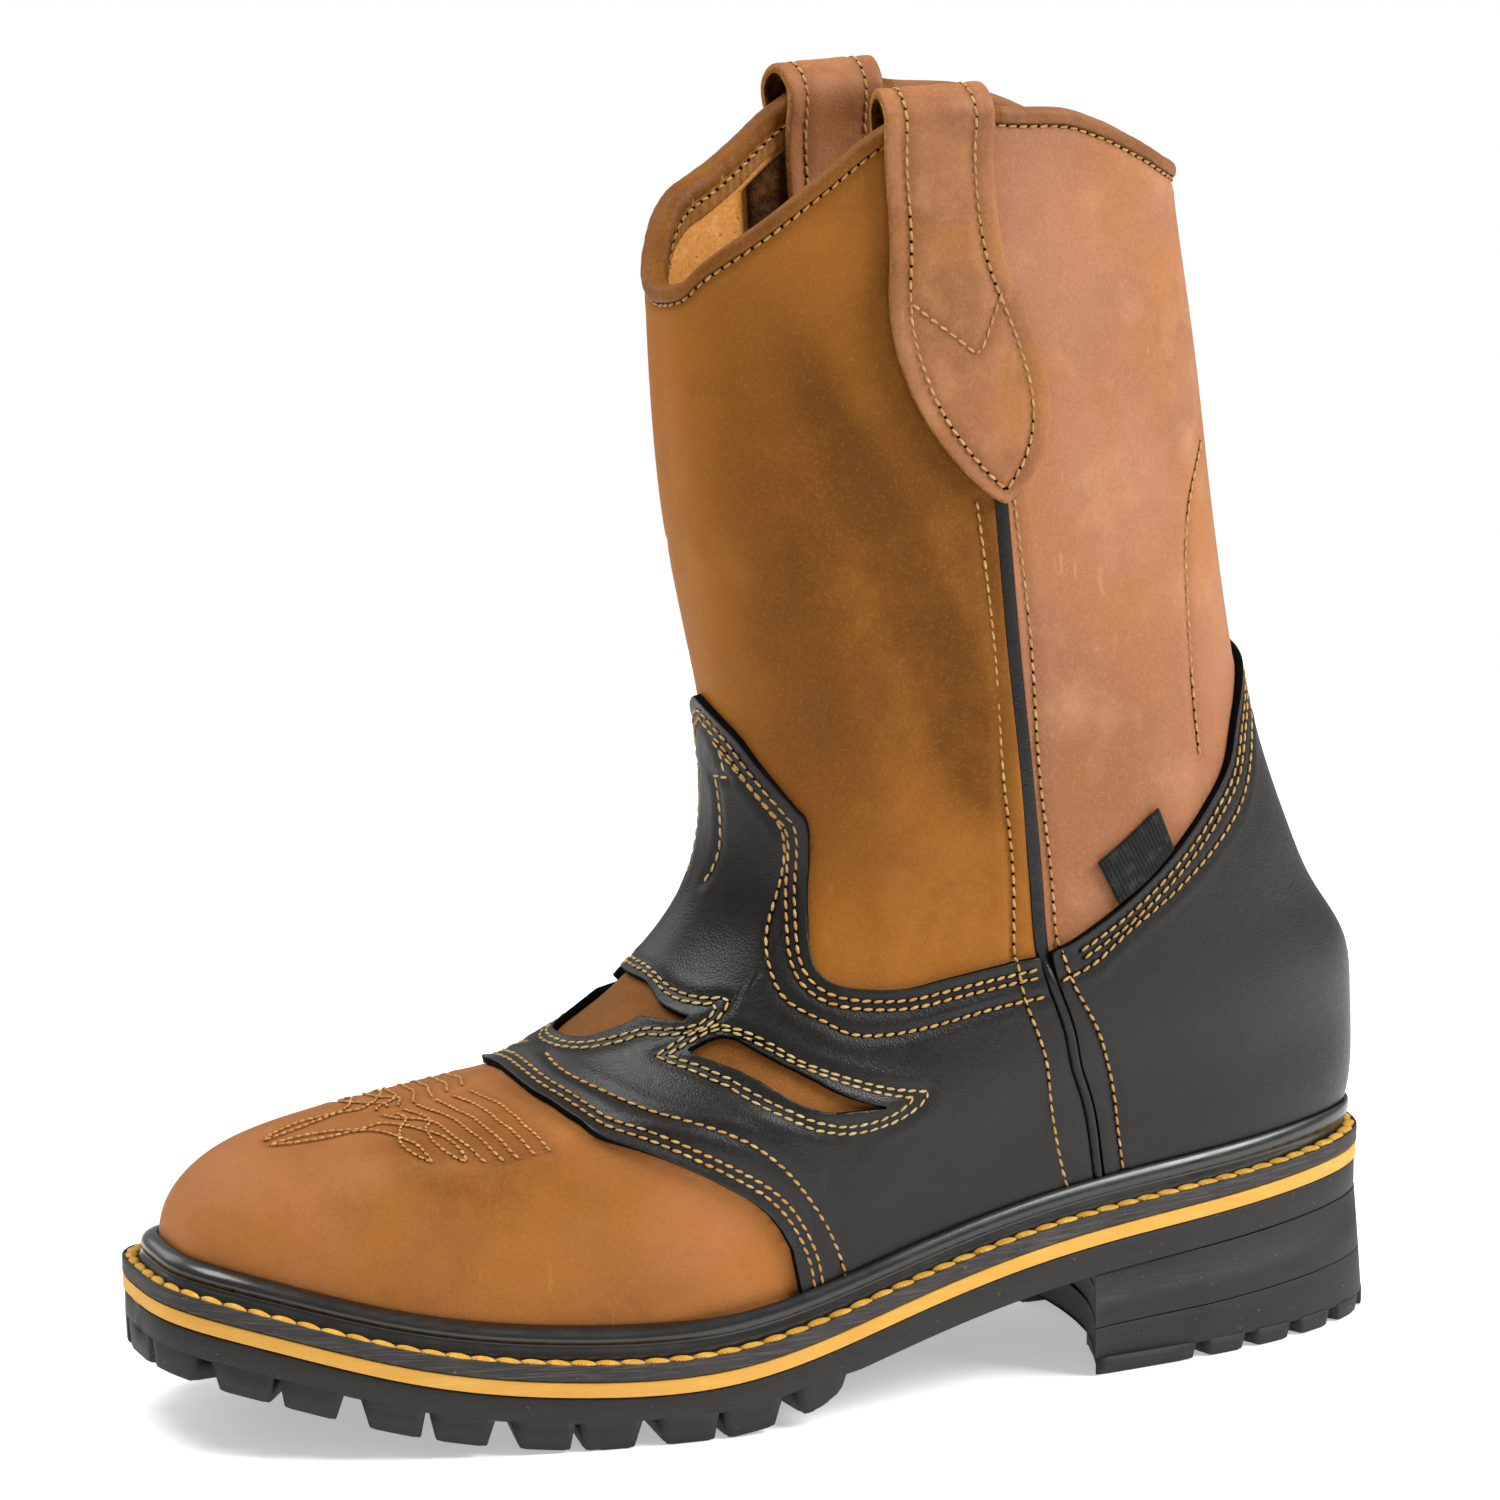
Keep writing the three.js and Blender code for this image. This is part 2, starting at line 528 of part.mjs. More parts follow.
const midTop = (x) => weltTop(x) - weltThick - gap;
const soleTop = (x) => midTop(x) - midsoleThick - gap;
add("midsole", plate((t) => weltEdge(t) - 0.2, (x) => midTop(x) - midsoleThick, midTop), finish.yellowRubber);
add("insole_board", plate(innerReach, (x) => weltTop(x) - 0.4, (x) => weltTop(x) - 0.4 + insoleThick), finish.board);
add("footbed", plate(innerReach, (x) => weltTop(x) - 0.1 + insoleThick,
  (x) => weltTop(x) - 0.1 + insoleThick + footbedThick), finish.footFabric);

// Cork bed under the insole board, slotted for the steel shank.
const shankFrom = -14 * scaleX;
const shankTo = 88 * scaleX;
const bar = (half, inset, bottom, top) => bentBox(10, 1, (u, v, w) => {
  const x = shankFrom + inset + u * (shankTo - shankFrom - 2 * inset);
  const from = bottom(x);
  return new THREE.Vector3(x, (2 * v - 1) * half, from + w * (top(x) - from));
});
const corkTop = (x) => weltTop(x) - 0.7;
const cork = plate(() => weltInner - gap, (x) => midTop(x) + gap, corkTop);
add("cork_filler", cork.subtract(bar(shankWidth / 2 + gap, 0,
  (x) => corkTop(x) - shankThick - gap, (x) => corkTop(x) + 5)), finish.cork);
add("steel_shank", bar(shankWidth / 2, gap, (x) => corkTop(x) - shankThick, corkTop), finish.steel);

// Tread: forefoot lugs, thin waist, and the bed under the heel.
const frontEnd = -8 * scaleX;
const waistFrom = 4 * scaleX;
const breast = 70 * scaleX;
const soleReach = weltReach - 0.5;
const soleEdge = (turn) => weltEdge(turn) - 0.5;
const treadUnder = (x) => {
  const forefoot = Math.max(0, weltTop(x) - stack);
  const waist = soleTop(x) - waistThick;
  return forefoot + (waist - forefoot) * smooth((x - frontEnd) / (waistFrom - frontEnd));
};
const notch = (at, turnBy, length, top, foot, bottom, depth) => {
  const shape = new THREE.Shape();
  shape.moveTo(-foot / 2, -12);
  shape.lineTo(foot / 2, -12);
  shape.lineTo(foot / 2, 0);
  shape.lineTo(top / 2, depth);
  shape.lineTo(-top / 2, depth);
  shape.lineTo(-foot / 2, 0);
  shape.closePath();
  const cutter = new THREE.ExtrudeGeometry(shape, { depth: length, bevelEnabled: false });
  cutter.rotateX(Math.PI / 2);
  cutter.translate(0, length * 0.72, 0);
  cutter.rotateZ(turnBy);
  cutter.translate(at.x, at.y, bottom);
  return toManifold(cutter);
};

// Places along the sole's edge, a fixed step apart, with the edge's direction.
function edgeWalk(from, to, step, reach) {
  const places = [];
  let last = outline(from, reach);
  let run = step / 2;
  const count = 400;
  for (let i = 1; i <= count; i++) {
    const turn = from + ((to - from) * i) / count;
    const p = outline(turn, reach);
    run += p.distanceTo(last);
    if (run >= step) {
      run -= step;
      places.push({ at: p, angle: Math.atan2(p.y - last.y, p.x - last.x) });
    }
    last = p;
  }
  return places;
}
let tread = plate(soleEdge, treadUnder, soleTop);
const lugPitch = 16.5;
for (const side of [1, -1]) {
  const last = side > 0 ? 86 : 84;
  for (const { at, angle } of edgeWalk(side * 3 * deg, side * last * deg, lugPitch, soleReach)) {
    const turnBy = side > 0 ? angle : angle + Math.PI;
    tread = tread.subtract(notch(at, turnBy, 34, 2.4, 5.4, treadUnder(at.x), lugDepth));
  }
}
for (let x = -112 * scaleX; x < frontEnd - 10; x += lugPitch) {
  const across = notch(new THREE.Vector3(x, 0, 0), 0, 30, 2.4, 5.4, treadUnder(x), lugDepth * 0.7);
  tread = tread.subtract(across.translate([0, -6, 0]));
}
add("outsole", tread, finish.blackRubber);

// Heel block and its top lift, both cut back to a hollow breast.
const breastHollow = new THREE.CylinderGeometry(90, 90, 400, 48);
breastHollow.rotateX(Math.PI / 2);
breastHollow.translate(breast - 84, 0, 0);
const heelFront = new THREE.BoxGeometry(400, 400, 400);
heelFront.translate(breast - 200 - 3, 0, 0);
const breastCut = toManifold(breastHollow).add(toManifold(heelFront));
const flareAt = (height) => heelFlare * THREE.MathUtils.clamp(1 - height / 28, 0, 1);
const heelReach = (height) => {
  const flare = byTurn([[0, 0], [110, 0], [150, 1], [180, 1]]);
  return (turn) => soleEdge(turn) + flare(turn) * flareAt(height);
};
function heelPlate(bottom, top, low, high) {
  const columns = soleTurns.length - 1;
  return bentBox(columns, 1, (u, v, w) => {
    const turn = soleTurns[Math.round(u * columns)] * (v < 0.5 ? 1 : -1);
    const p = outline(turn, heelReach(w < 0.5 ? low : high)(turn));
    return new THREE.Vector3(p.x, p.y, w < 0.5 ? bottom(p.x) : top(p.x));
  }).subtract(breastCut);
}
const liftTop = (x) => heelLiftThick + 0.045 * (x - breast);
add("heel_base", heelPlate((x) => liftTop(x) + gap, (x) => treadUnder(x) - gap, heelLiftThick, 27), finish.blackRubber);
let lift = heelPlate(() => 0, liftTop, 0, heelLiftThick);
for (const side of [1, -1]) {
  for (const { at, angle } of edgeWalk(side * 127 * deg, side * 172 * deg, 14, soleReach)) {
    const turnBy = side > 0 ? angle : angle + Math.PI;
    lift = lift.subtract(notch(at, turnBy, 30, 3.4, 5, 0, heelLugDepth));
  }
}
add("heel_lift", lift, finish.blackRubber);

// The origin goes on the floor under the middle of the boot.
const reachBox = new THREE.Box3().setFromObject(group);
const middle = reachBox.getCenter(new THREE.Vector3());
for (const mesh of group.children) mesh.geometry.translate(-middle.x, -middle.y, 0);

export default group;
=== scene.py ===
import math
import random

import bmesh
import bpy
import numpy as np
from mathutils import Matrix, Vector
from mathutils.kdtree import KDTree


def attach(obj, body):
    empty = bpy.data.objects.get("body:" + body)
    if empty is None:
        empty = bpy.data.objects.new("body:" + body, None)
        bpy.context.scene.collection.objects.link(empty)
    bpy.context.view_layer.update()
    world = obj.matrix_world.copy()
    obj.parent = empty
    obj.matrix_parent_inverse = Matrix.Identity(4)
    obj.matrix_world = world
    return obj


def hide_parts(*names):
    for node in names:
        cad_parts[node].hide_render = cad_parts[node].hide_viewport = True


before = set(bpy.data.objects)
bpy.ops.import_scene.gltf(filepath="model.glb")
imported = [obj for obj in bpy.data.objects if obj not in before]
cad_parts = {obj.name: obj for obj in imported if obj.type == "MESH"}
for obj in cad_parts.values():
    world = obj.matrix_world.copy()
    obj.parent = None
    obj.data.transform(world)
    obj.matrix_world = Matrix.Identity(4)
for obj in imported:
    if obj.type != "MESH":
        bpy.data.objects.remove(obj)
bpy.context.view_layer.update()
dice = random.Random(11)
mm = 0.001
deg = math.pi / 180
print("frame loaded")


def easyCurve(pairs):
    # smooth through every pair, straight beyond the ends
    xs, ys = np.array(pairs, float).T
    n = len(xs)
    bend, work = np.zeros(n), np.zeros(n)
    for i in range(1, n - 1):
        share = (xs[i] - xs[i - 1]) / (xs[i + 1] - xs[i - 1])
        pivot = share * bend[i - 1] + 2
        turn = (ys[i + 1] - ys[i]) / (xs[i + 1] - xs[i]) - (ys[i] - ys[i - 1]) / (xs[i] - xs[i - 1])
        bend[i] = (share - 1) / pivot
        work[i] = (6 * turn / (xs[i + 1] - xs[i - 1]) - share * work[i - 1]) / pivot
    for i in range(n - 2, -1, -1):
        bend[i] = bend[i] * bend[i + 1] + work[i]

    def at(x):
        x = np.asarray(x, float)
        q = np.clip(x, xs[0], xs[-1])
        k = np.clip(np.searchsorted(xs, q) - 1, 0, n - 2)
        h = xs[k + 1] - xs[k]
        a, b = (xs[k + 1] - q) / h, (q - xs[k]) / h
        y = a * ys[k] + b * ys[k + 1] + ((a**3 - a) * bend[k] + (b**3 - b) * bend[k + 1]) * h * h / 6
        slope = (ys[k + 1] - ys[k]) / h + ((1 - 3 * a * a) * bend[k] + (3 * b * b - 1) * bend[k + 1]) * h / 6
        return y + slope * (x - q)

    return at


def tightCurve(pairs):
    # never swings past a pair, level beyond the ends
    xs, ys = np.array(pairs, float).T
    step, rise = np.diff(xs), np.diff(ys) / np.diff(xs)
    lean = np.zeros(len(xs))
    for i in range(1, len(xs) - 1):
        if rise[i - 1] * rise[i] > 0:
            w1, w2 = 2 * step[i] + step[i - 1], step[i] + 2 * step[i - 1]
            lean[i] = (w1 + w2) / (w1 / rise[i - 1] + w2 / rise[i])
    lean[0], lean[-1] = rise[0], rise[-1]

    def at(x):
        q = np.clip(np.asarray(x, float), xs[0], xs[-1])
        k = np.clip(np.searchsorted(xs, q) - 1, 0, len(xs) - 2)
        h = xs[k + 1] - xs[k]
        t = (q - xs[k]) / h
        return ((2 * t**3 - 3 * t**2 + 1) * ys[k] + (t**3 - 2 * t**2 + t) * h * lean[k]
                + (3 * t**2 - 2 * t**3) * ys[k + 1] + (t**3 - t**2) * h * lean[k + 1])

    return at


def ease(t):
    t = np.clip(t, 0, 1)
    return t * t * (3 - 2 * t)


# The boot's form, as in the CAD, in mm: s runs up the front ridge, turn goes round, + to the outer side.
form = {
    "stack": 19.6, "shiftX": -1.5, "shiftY": 0.4,
    "hoops": [
        [0, -141, 35, 142, 44, 0.6], [12, -140, 47, 145, 50, 0.6], [25.6, -132, 58, 147, 57, 0.64],
        [45, -114, 65, 148, 66, 0.74], [71.1, -88, 68, 148, 76, 0.84], [100, -60, 75, 146, 88, 0.9],
        [133.3, -32, 93, 136.5, 102, 0.9], [163.3, -14, 117, 128, 119, 0.87],
        [188.4, -12, 142, 120, 140, 0.83], [214.7, -16, 168, 114, 166, 0.8],
        [247.1, -21, 200, 108.5, 202, 0.77], [279.2, -24, 232, 104, 236, 0.75],
        [309.2, -25, 262, 99, 268, 0.74], [343.2, -25, 296, 95, 300, 0.74]],
    "lateral": [(-150, 34), (-116, 41), (-76, 45.5), (-36, 47), (-6, 45.5), (34, 41), (70, 38.5), (110, 36.5),
                (145, 31)],
    "medial": [(-150, 38), (-116, 43), (-76, 45.5), (-36, 43), (-6, 38), (34, 33), (70, 33), (110, 35),
               (145, 31)],
    "middle": [(-150, 3), (-96, 3), (-36, 1), (34, 0), (145, 0)],
    "feather": [(-152, 38), (-130, 33), (-100, 25), (-60, 19.6), (-26, 20), (14, 29), (54, 37), (100, 41),
                (150, 44)],
    "shaft": [(60, 38), (100, 37), (140, 38), (180, 37), (230, 34), (270, 32), (300, 31)],
}
hoopAt = [easyCurve([(row[0], row[c]) for row in form["hoops"]]) for c in range(1, 6)]
lateralHalf, medialHalf = easyCurve(form["lateral"]), easyCurve(form["medial"])
middleLine, feather, shaftHalf = (easyCurve(form[k]) for k in ("middle", "feather", "shaft"))


def weltTop(x):
    return feather(np.asarray(x) - form["shiftX"])


def onForm(s, turn):
    s, turn = np.broadcast_arrays(np.asarray(s, float), np.asarray(turn, float))
    a = np.abs(np.arctan2(np.sin(turn), np.cos(turn)))
    side = np.where(np.sin(turn) >= 0, -1, 1)
    xf, zf, xk, zk, full = (f(s) for f in hoopAt)
    t = (1 - np.cos(a)) / 2
    x = xf + t * (xk - xf)
    fade = np.clip(1 - s / 70, 0, 1.2) ** 2
    first = form["hoops"][0]
    chord = first[2] + (x - first[1]) / (first[3] - first[1]) * (first[4] - first[2])
    z = zf + t * (zk - zf) + (feather(x) - chord) * fade
    up = ease((z - 62) / 58)
    foot = np.where(side < 0, lateralHalf(x), medialHalf(x))
    half = foot * (1 - up) + shaftHalf(z) * up
    # beside the ridge the inner side falls away faster than the outer one
    fall = np.where(side > 0, 0.4 * ease((s - 30) / 45) * ease((250 - s) / 55) * np.exp(-(a**2)), 0)
    y = middleLine(x) * (1 - up) + side * half * np.maximum(np.sin(a), 1e-9) ** full * (1 - fall)
    return np.stack([x + form["shiftX"], y + form["shiftY"], z], -1)


def unit(v):
    return v / np.maximum(np.linalg.norm(v, axis=-1, keepdims=True), 1e-12)


def formNormal(s, turn):
    up = onForm(np.asarray(s) + 0.8, turn) - onForm(np.asarray(s) - 0.8, turn)
    across = onForm(s, np.asarray(turn) + 0.02) - onForm(s, np.asarray(turn) - 0.02)
    return unit(np.cross(across, up))


def offForm(s, turn, out):
    return onForm(s, turn) + formNormal(s, turn) * np.asarray(out, float)[..., None]


def along(s, turn, distance):
    reach = np.linalg.norm(onForm(s, turn + 0.02) - onForm(s, turn - 0.02), axis=-1)
    return turn + distance * 0.04 / reach


def overWelt(turn, height):
    # the s that lies a height over the welt
    low, high = np.full(np.shape(turn), -6.0), np.full(np.shape(turn), 60.0)
    for _ in range(22):
        mid = (low + high) / 2
        p = onForm(mid, turn)
        under = p[..., 2] - weltTop(p[..., 0]) < height
        low, high = np.where(under, mid, low), np.where(under, high, mid)
    return (low + high) / 2


def outline(turn, reach):
    # plan of the foot at the welt, moved outwards
    p = onForm(0, turn)[..., :2]
    run = unit(onForm(0, turn + 0.02)[..., :2] - onForm(0, turn - 0.02)[..., :2])
    out = np.stack([run[..., 1], -run[..., 0]], -1)
    return p + out * np.asarray(reach, float)[..., None]


def byTurn(pairs):
    curve = tightCurve(pairs)
    return lambda turn: curve(np.abs(np.arctan2(np.sin(turn), np.cos(turn))) / deg)


# Pattern lines of the upper, in s by degrees of turn.
outerTop = byTurn([[0, 296.6], [12, 298.6], [21, 303], [41, 312], [57, 321.6], [71, 331], [84, 336.5],
                   [101, 333.4],
                  [114, 331.9], [125, 328], [137, 322.6], [155, 316], [180, 312]])


def topLine(turn):
    # the inner side stands a little higher beside the front dip
    turn = np.arctan2(np.sin(turn), np.cos(turn))
    return outerTop(turn) + 5 * np.exp(-(((turn / deg + 34) / 15) ** 2))


seamCurve = easyCurve([[0, 119], [25, 115], [61, 107.5], [110, 96.5], [141, 89.3], [170, 85.2], [192, 85.8],
                       [213, 87.2], [247, 89.6], [300, 90.5], [345, 90.5]])
overlayTop = byTurn([[0, 204], [8, 200.8], [16, 196.6], [22.4, 191], [28.1, 186.1], [33.6, 181.2],
                     [36.2, 178.8], [37, 175.5], [38.1, 164.5], [41.5, 154.2], [45.3, 145.8], [49.3, 139.4],
                     [55.3, 134], [60, 132], [68, 130.5], [75, 132.5], [89, 135.5], [100, 136]])
overlayFront = byTurn([[0, 97.5], [6, 96.7], [26, 87.9], [40, 74.6], [53, 56], [60, 48.6], [68, 39.3],
                       [74, 31.9], [79, 25], [83, 16.7], [85.5, 7], [86.5, -6]])
counterTop = byTurn([[88, 135], [92.5, 137.5], [100, 146], [108.7, 157], [118, 167.4], [127, 176],
                     [137, 184.6], [147, 196], [160, 205], [180, 210]])
# Windows in the vamp overlay, as (degrees, s): half of the one over the instep, and the long leaf.
windows = {
    "centre": [(0, 134), (6.4, 134), (10.5, 133.6), (15.9, 131.1), (20.5, 128.2), (27.1, 125.7),
               (33.7, 123.5), (28.8, 123), (23.6, 123.4), (18.8, 124), (17.8, 121.3), (15.2, 117.8),
               (11.4, 114.4), (6, 113.2), (0, 113)],
    "leaf": [(37.9, 111.5), (37.9, 113.9), (39.1, 116.9), (40.9, 118.1), (44.1, 116.9), (48.6, 112.9),
             (54.3, 107), (60.8, 99.2), (66.3, 91.3), (73.6, 78.6), (80.1, 66.8), (84.6, 60.3), (80.9, 61.6),
             (76.3, 63), (71.3, 71.2), (64.1, 84), (57.7, 94.3), (50.8, 102.6), (44.8, 107.5), (40.5, 110.4)],
}


def seamTurn(s):
    return seamCurve(s) * deg


def frontTo(s):
    return along(s, seamTurn(s), -1.5)


def frontFrom(s):
    return -frontTo(s)


def backFrom(s):
    return along(s, seamTurn(s), 1.5)


def backTo(s):
    return 2 * math.pi - backFrom(s)


def level(value):
    return lambda turn: np.full(np.shape(turn), float(value))


def denseLine(points, closed=False, step=0.6):
    # corners kept, points about a step apart
    pts = np.array(points, float)
    if closed:
        pts = np.vstack([pts, pts[:1]])
    run = np.concatenate([[0], np.cumsum(np.hypot(np.diff(pts[:, 0]) * 0.8, np.diff(pts[:, 1])))])
    q = np.linspace(0, run[-1], int(run[-1] / step))
    line = np.stack([np.interp(q, run, pts[:, 0]), np.interp(q, run, pts[:, 1])], -1)
    return line[:-1] if closed else line


def windowLoop(name, side=1):
    points = list(windows[name])
    if name == "centre":
        points = points + [(-d, s) for d, s in points[::-1][1:-1]]
    loop = denseLine([(d * side, s) for d, s in points], closed=True)
    for _ in range(2):
        loop = (np.roll(loop, 1, 0) + 2 * loop + np.roll(loop, -1, 0)) / 4
    return loop


def colour(code):
    # sRGB hex to linear
    parts = [int(code[i:i + 2], 16) / 255 for i in (0, 2, 4)]
    return tuple(c / 12.92 if c <= 0.04045 else ((c + 0.055) / 1.055) ** 2.4 for c in parts) + (1.0,)


def addNode(tree, kind, settings=None, links=None):
    # lower case settings are the node's own, the rest go to its sockets
    node = tree.nodes.new("ShaderNode" + kind)
    for key, value in (settings or {}).items():
        if isinstance(key, str) and key[0].islower():
            setattr(node, key, value)
        else:
            node.inputs[key].default_value = value
    for key, socket in (links or {}).items():
        tree.links.new(socket, node.inputs[key])
    return node


def newMaterial(name, settings):
    material = bpy.data.materials.new(name)
    material.use_nodes = True
    tree = material.node_tree
    surface = tree.nodes["Principled BSDF"]
    for key, value in settings.items():
        surface.inputs[key].default_value = value
    return material, tree, surface


def blendColours(tree, factor, first, second):
    settings, links = {}, {}
    for key, value in (("Fac", factor), ("Color1", first), ("Color2", second)):
        if isinstance(value, (float, tuple)):
            settings[key] = value
        else:
            links[key] = value
    return addNode(tree, "MixRGB", settings, links).outputs["Color"]


def rangeOf(tree, value, low, high, fromLow=0.0, fromHigh=1.0):
    return addNode(tree, "MapRange", {"From Min": fromLow, "From Max": fromHigh, "To Min": low,
                                      "To Max": high},
                   {"Value": value}).outputs["Result"]


def noiseAt(tree, place, size, detail=3.0, roughness=0.55, stretch=None, seed=0.0):
    # size is the real size in mm of one patch of the pattern
    if stretch:
        place = addNode(tree, "Mapping", {"Scale": stretch}, {"Vector": place}).outputs["Vector"]
    return addNode(tree, "TexNoise", {"noise_dimensions": "4D", "Scale": 1000 / size, "Detail": detail,
                                      "W": seed, "Roughness": roughness}, {"Vector": place}).outputs["Fac"]


def bumpOf(tree, height, strength, depth, under=None):
    links = {"Height": height, "Normal": under} if under else {"Height": height}
    return addNode(tree, "Bump", {"Strength": strength, "Distance": depth}, links).outputs["Normal"]


def layColours(tree, base, look, *layers):
    # each layer: its pattern, how much of the colour it lays at most, from and to which value, and the colour
    for pattern, most, low, high, name in layers:
        base = blendColours(tree, rangeOf(tree, pattern, 0.0, most, low, high), base, colour(look[name]))
    return base


def dress(tree, surface, base, normal=None, rough=None):
    for name, socket in (("Base Color", base), ("Normal", normal), ("Roughness", rough)):
        if socket:
            tree.links.new(socket, surface.inputs[name])


def placeOf(tree):
    return addNode(tree, "TexCoord").outputs["Object"]


def sumOf(tree, first, second, kind="ADD", clamp=False):
    return addNode(tree, "Math", {"operation": kind, "use_clamp": clamp}, {0: first, 1: second}).outputs[0]


def leatherLook(name, look):
    # Oiled pull-up cowhide: waxy, cloudy, paler in patches and where it is rubbed, with a fine short nap.
    material, tree, surface = newMaterial(name, {
        "IOR": 1.45, "Specular IOR Level": look["specular"], "Sheen Weight": look["sheen"],
        "Sheen Roughness": 0.45, "Sheen Tint": colour(look["sheenTint"])})
    place = placeOf(tree)
    cloud = noiseAt(tree, place, look["cloud"], 4.0, 0.6)
    blotch = noiseAt(tree, place, look["cloud"] / 3.4, 5.0, 0.65, seed=3.0)
    nap = noiseAt(tree, place, look["nap"], 3.0, 0.7, seed=5.0)
    warm = noiseAt(tree, place, look["cloud"] / 1.8, 3.0, 0.55, seed=21.0)
    smudge = noiseAt(tree, place, look["smudge"], 3.0, 0.6, seed=30.0)
    grain = addNode(tree, "TexVoronoi", {"feature": "DISTANCE_TO_EDGE", "Scale": 1000 / look["pore"]},
                    {"Vector": place}).outputs["Distance"]
    height = addNode(tree, "SeparateXYZ", links={"Vector": place}).outputs["Z"]
    main = blendColours(tree, rangeOf(tree, height, 1.0, 0.0, 0.06, 0.1), colour(look["main"]),
                        colour(look["toe"]))
    base = blendColours(tree, rangeOf(tree, cloud, 0.0, 1.0, 0.3, 0.6), colour(look["dark"]), main)
    base = layColours(tree, base, look, (blotch, look["mottle"], 0.5, 0.72, "pale"),
                      (warm, look["warmth"], 0.48, 0.62, "warm"), (smudge, 0.45, 0.62, 0.76, "dark"))
    # light scuffs: short thin strokes, few of them
    scuff = noiseAt(tree, place, 2.2, 2.0, 0.5, (1.0, 0.5, 0.2), 8.0)
    rub = noiseAt(tree, place, 26.0, 2.0, 0.5, seed=9.0)
    strokes = sumOf(tree, rangeOf(tree, scuff, 0.0, look["scuff"], 0.66, 0.76),
                    rangeOf(tree, rub, 0.0, 1.0, 0.5, 0.62), "MULTIPLY")
    base = blendColours(tree, strokes, base, colour(look["pale"]))
    # darker in the seam's furrow: dirt and painted shade
    seam = addNode(tree, "Attribute", {"attribute_name": "seam"}).outputs["Fac"]
    base = blendColours(tree, rangeOf(tree, seam, look["furrowDirtAndShade"], 0.0, 0.02, 0.24), base,
                        colour(look["dark"]))
    # painted shade: the leather turns darker, in patches, towards the deep colour where the panel's tone
    # attribute asks for it; on the front that is the shaft's shaded side, its fold and the leather under the
    # overlay, on the back it is darker towards the bottom
    toneAndPaintedShade = addNode(tree, "Attribute", {"attribute_name": "toneAndPaintedShade"}).outputs["Fac"]
    patchy = sumOf(tree, toneAndPaintedShade, rangeOf(tree, blotch, 1.15, 0.7, 0.4, 0.66), "MULTIPLY", True)
    base = blendColours(tree, patchy, base, colour(look["deep"]))
    # the fine nap shows as pale and dark points
    base = layColours(tree, base, look, (nap, look["speck"], 0.5, 0.68, "pale"))
    base = blendColours(tree, rangeOf(tree, nap, look["speck"], 0.0, 0.3, 0.48), base, colour(look["dark"]))
    surface.inputs["Base Color"].default_value = colour(look["main"])
    rough = sumOf(tree, rangeOf(tree, cloud, look["rough"] - 0.07, look["rough"] + 0.07, 0.3, 0.7),
                  rangeOf(tree, nap, -0.06, 0.06, 0.3, 0.7))
    crease = noiseAt(tree, place, 7.0, 3.0, 0.6, seed=12.0)
    low = bumpOf(tree, crease, look["crease"], 0.0012)
    fine = bumpOf(tree, nap, look["bump"], 0.00025, low)
    pores = bumpOf(tree, rangeOf(tree, grain, 0.0, 1.0, 0.0, 0.35), look["poreBump"], 0.0002, fine)
    dress(tree, surface, base, rough=rough, normal=pores)
    return material


# In each look, deep is the dark colour laid on by the tone attribute: painted shade on the front, darkening
# towards the bottom on the back.
frontLook = {"main": "9d601f", "dark": "7d4a16", "pale": "b57c3a", "deep": "6d400c", "cloud": 80,
             "smudge": 14, "nap": 0.7, "pore": 0.8, "mottle": 0.35, "speck": 0.24, "scuff": 0.7,
             "furrowDirtAndShade": 0.6, "rough": 0.58, "crease": 0.14, "bump": 0.4, "poreBump": 0.15, "sheen": 0.06,
             "sheenTint": "e0a860", "specular": 0.16, "toe": "b07043", "warm": "a96a28", "warmth": 0.6}
backLook = dict(frontLook, main="ac7555", dark="8e5c3c", pale="cb976f", cloud=60, mottle=0.5, toe="ac7555",
                deep="905a38", warm="a86c3a", specular=0.25, sheenTint="f0c48c")
strapLook = dict(frontLook, main="a46c46", dark="7e4f30", pale="c08a60", cloud=26, mottle=0.5, crease=0.2,
                 toe="a46c46", warm="a8703a", specular=0.25)
blackLook = {"main": "181614", "dark": "100f0e", "pale": "2c2926", "deep": "11100f", "cloud": 50,
             "smudge": 14, "nap": 0.9, "pore": 0.8, "mottle": 0.3, "speck": 0.25, "scuff": 0.35,
             "furrowDirtAndShade": 0.4, "rough": 0.4, "crease": 0.1, "bump": 0.28, "poreBump": 0.2, "sheen": 0.0,
             "sheenTint": "808080", "specular": 0.4, "toe": "181614", "warm": "1d1a16", "warmth": 0.5}
bindingLook = dict(frontLook, main="965d20", dark="6b3d12", pale="b07a38", cloud=24, crease=0.4, rough=0.5,
                   furrowDirtAndShade=0.5, toe="965d20", warm="9c6624")
bindingBackLook = dict(bindingLook, main="9a6743", dark="7a4c2e", pale="b5825e", toe="9a6743", warm="a06e40")
facingLook = dict(bindingLook, main="b07c42", dark="8a5a2a", pale="d0a068", crease=0.6, warm="b88448")
oiledFront = leatherLook("oiled_leather_golden", frontLook)
oiledBack = leatherLook("oiled_leather_rosy", backLook)
oiledStrap = leatherLook("oiled_leather_strap", strapLook)
oiledBlack = leatherLook("oiled_leather_black", blackLook)
oiledBinding = leatherLook("oiled_leather_binding", bindingLook)
oiledBindingBack = leatherLook("oiled_leather_binding_back", bindingBackLook)
oiledFacing = leatherLook("oiled_leather_facing", facingLook)


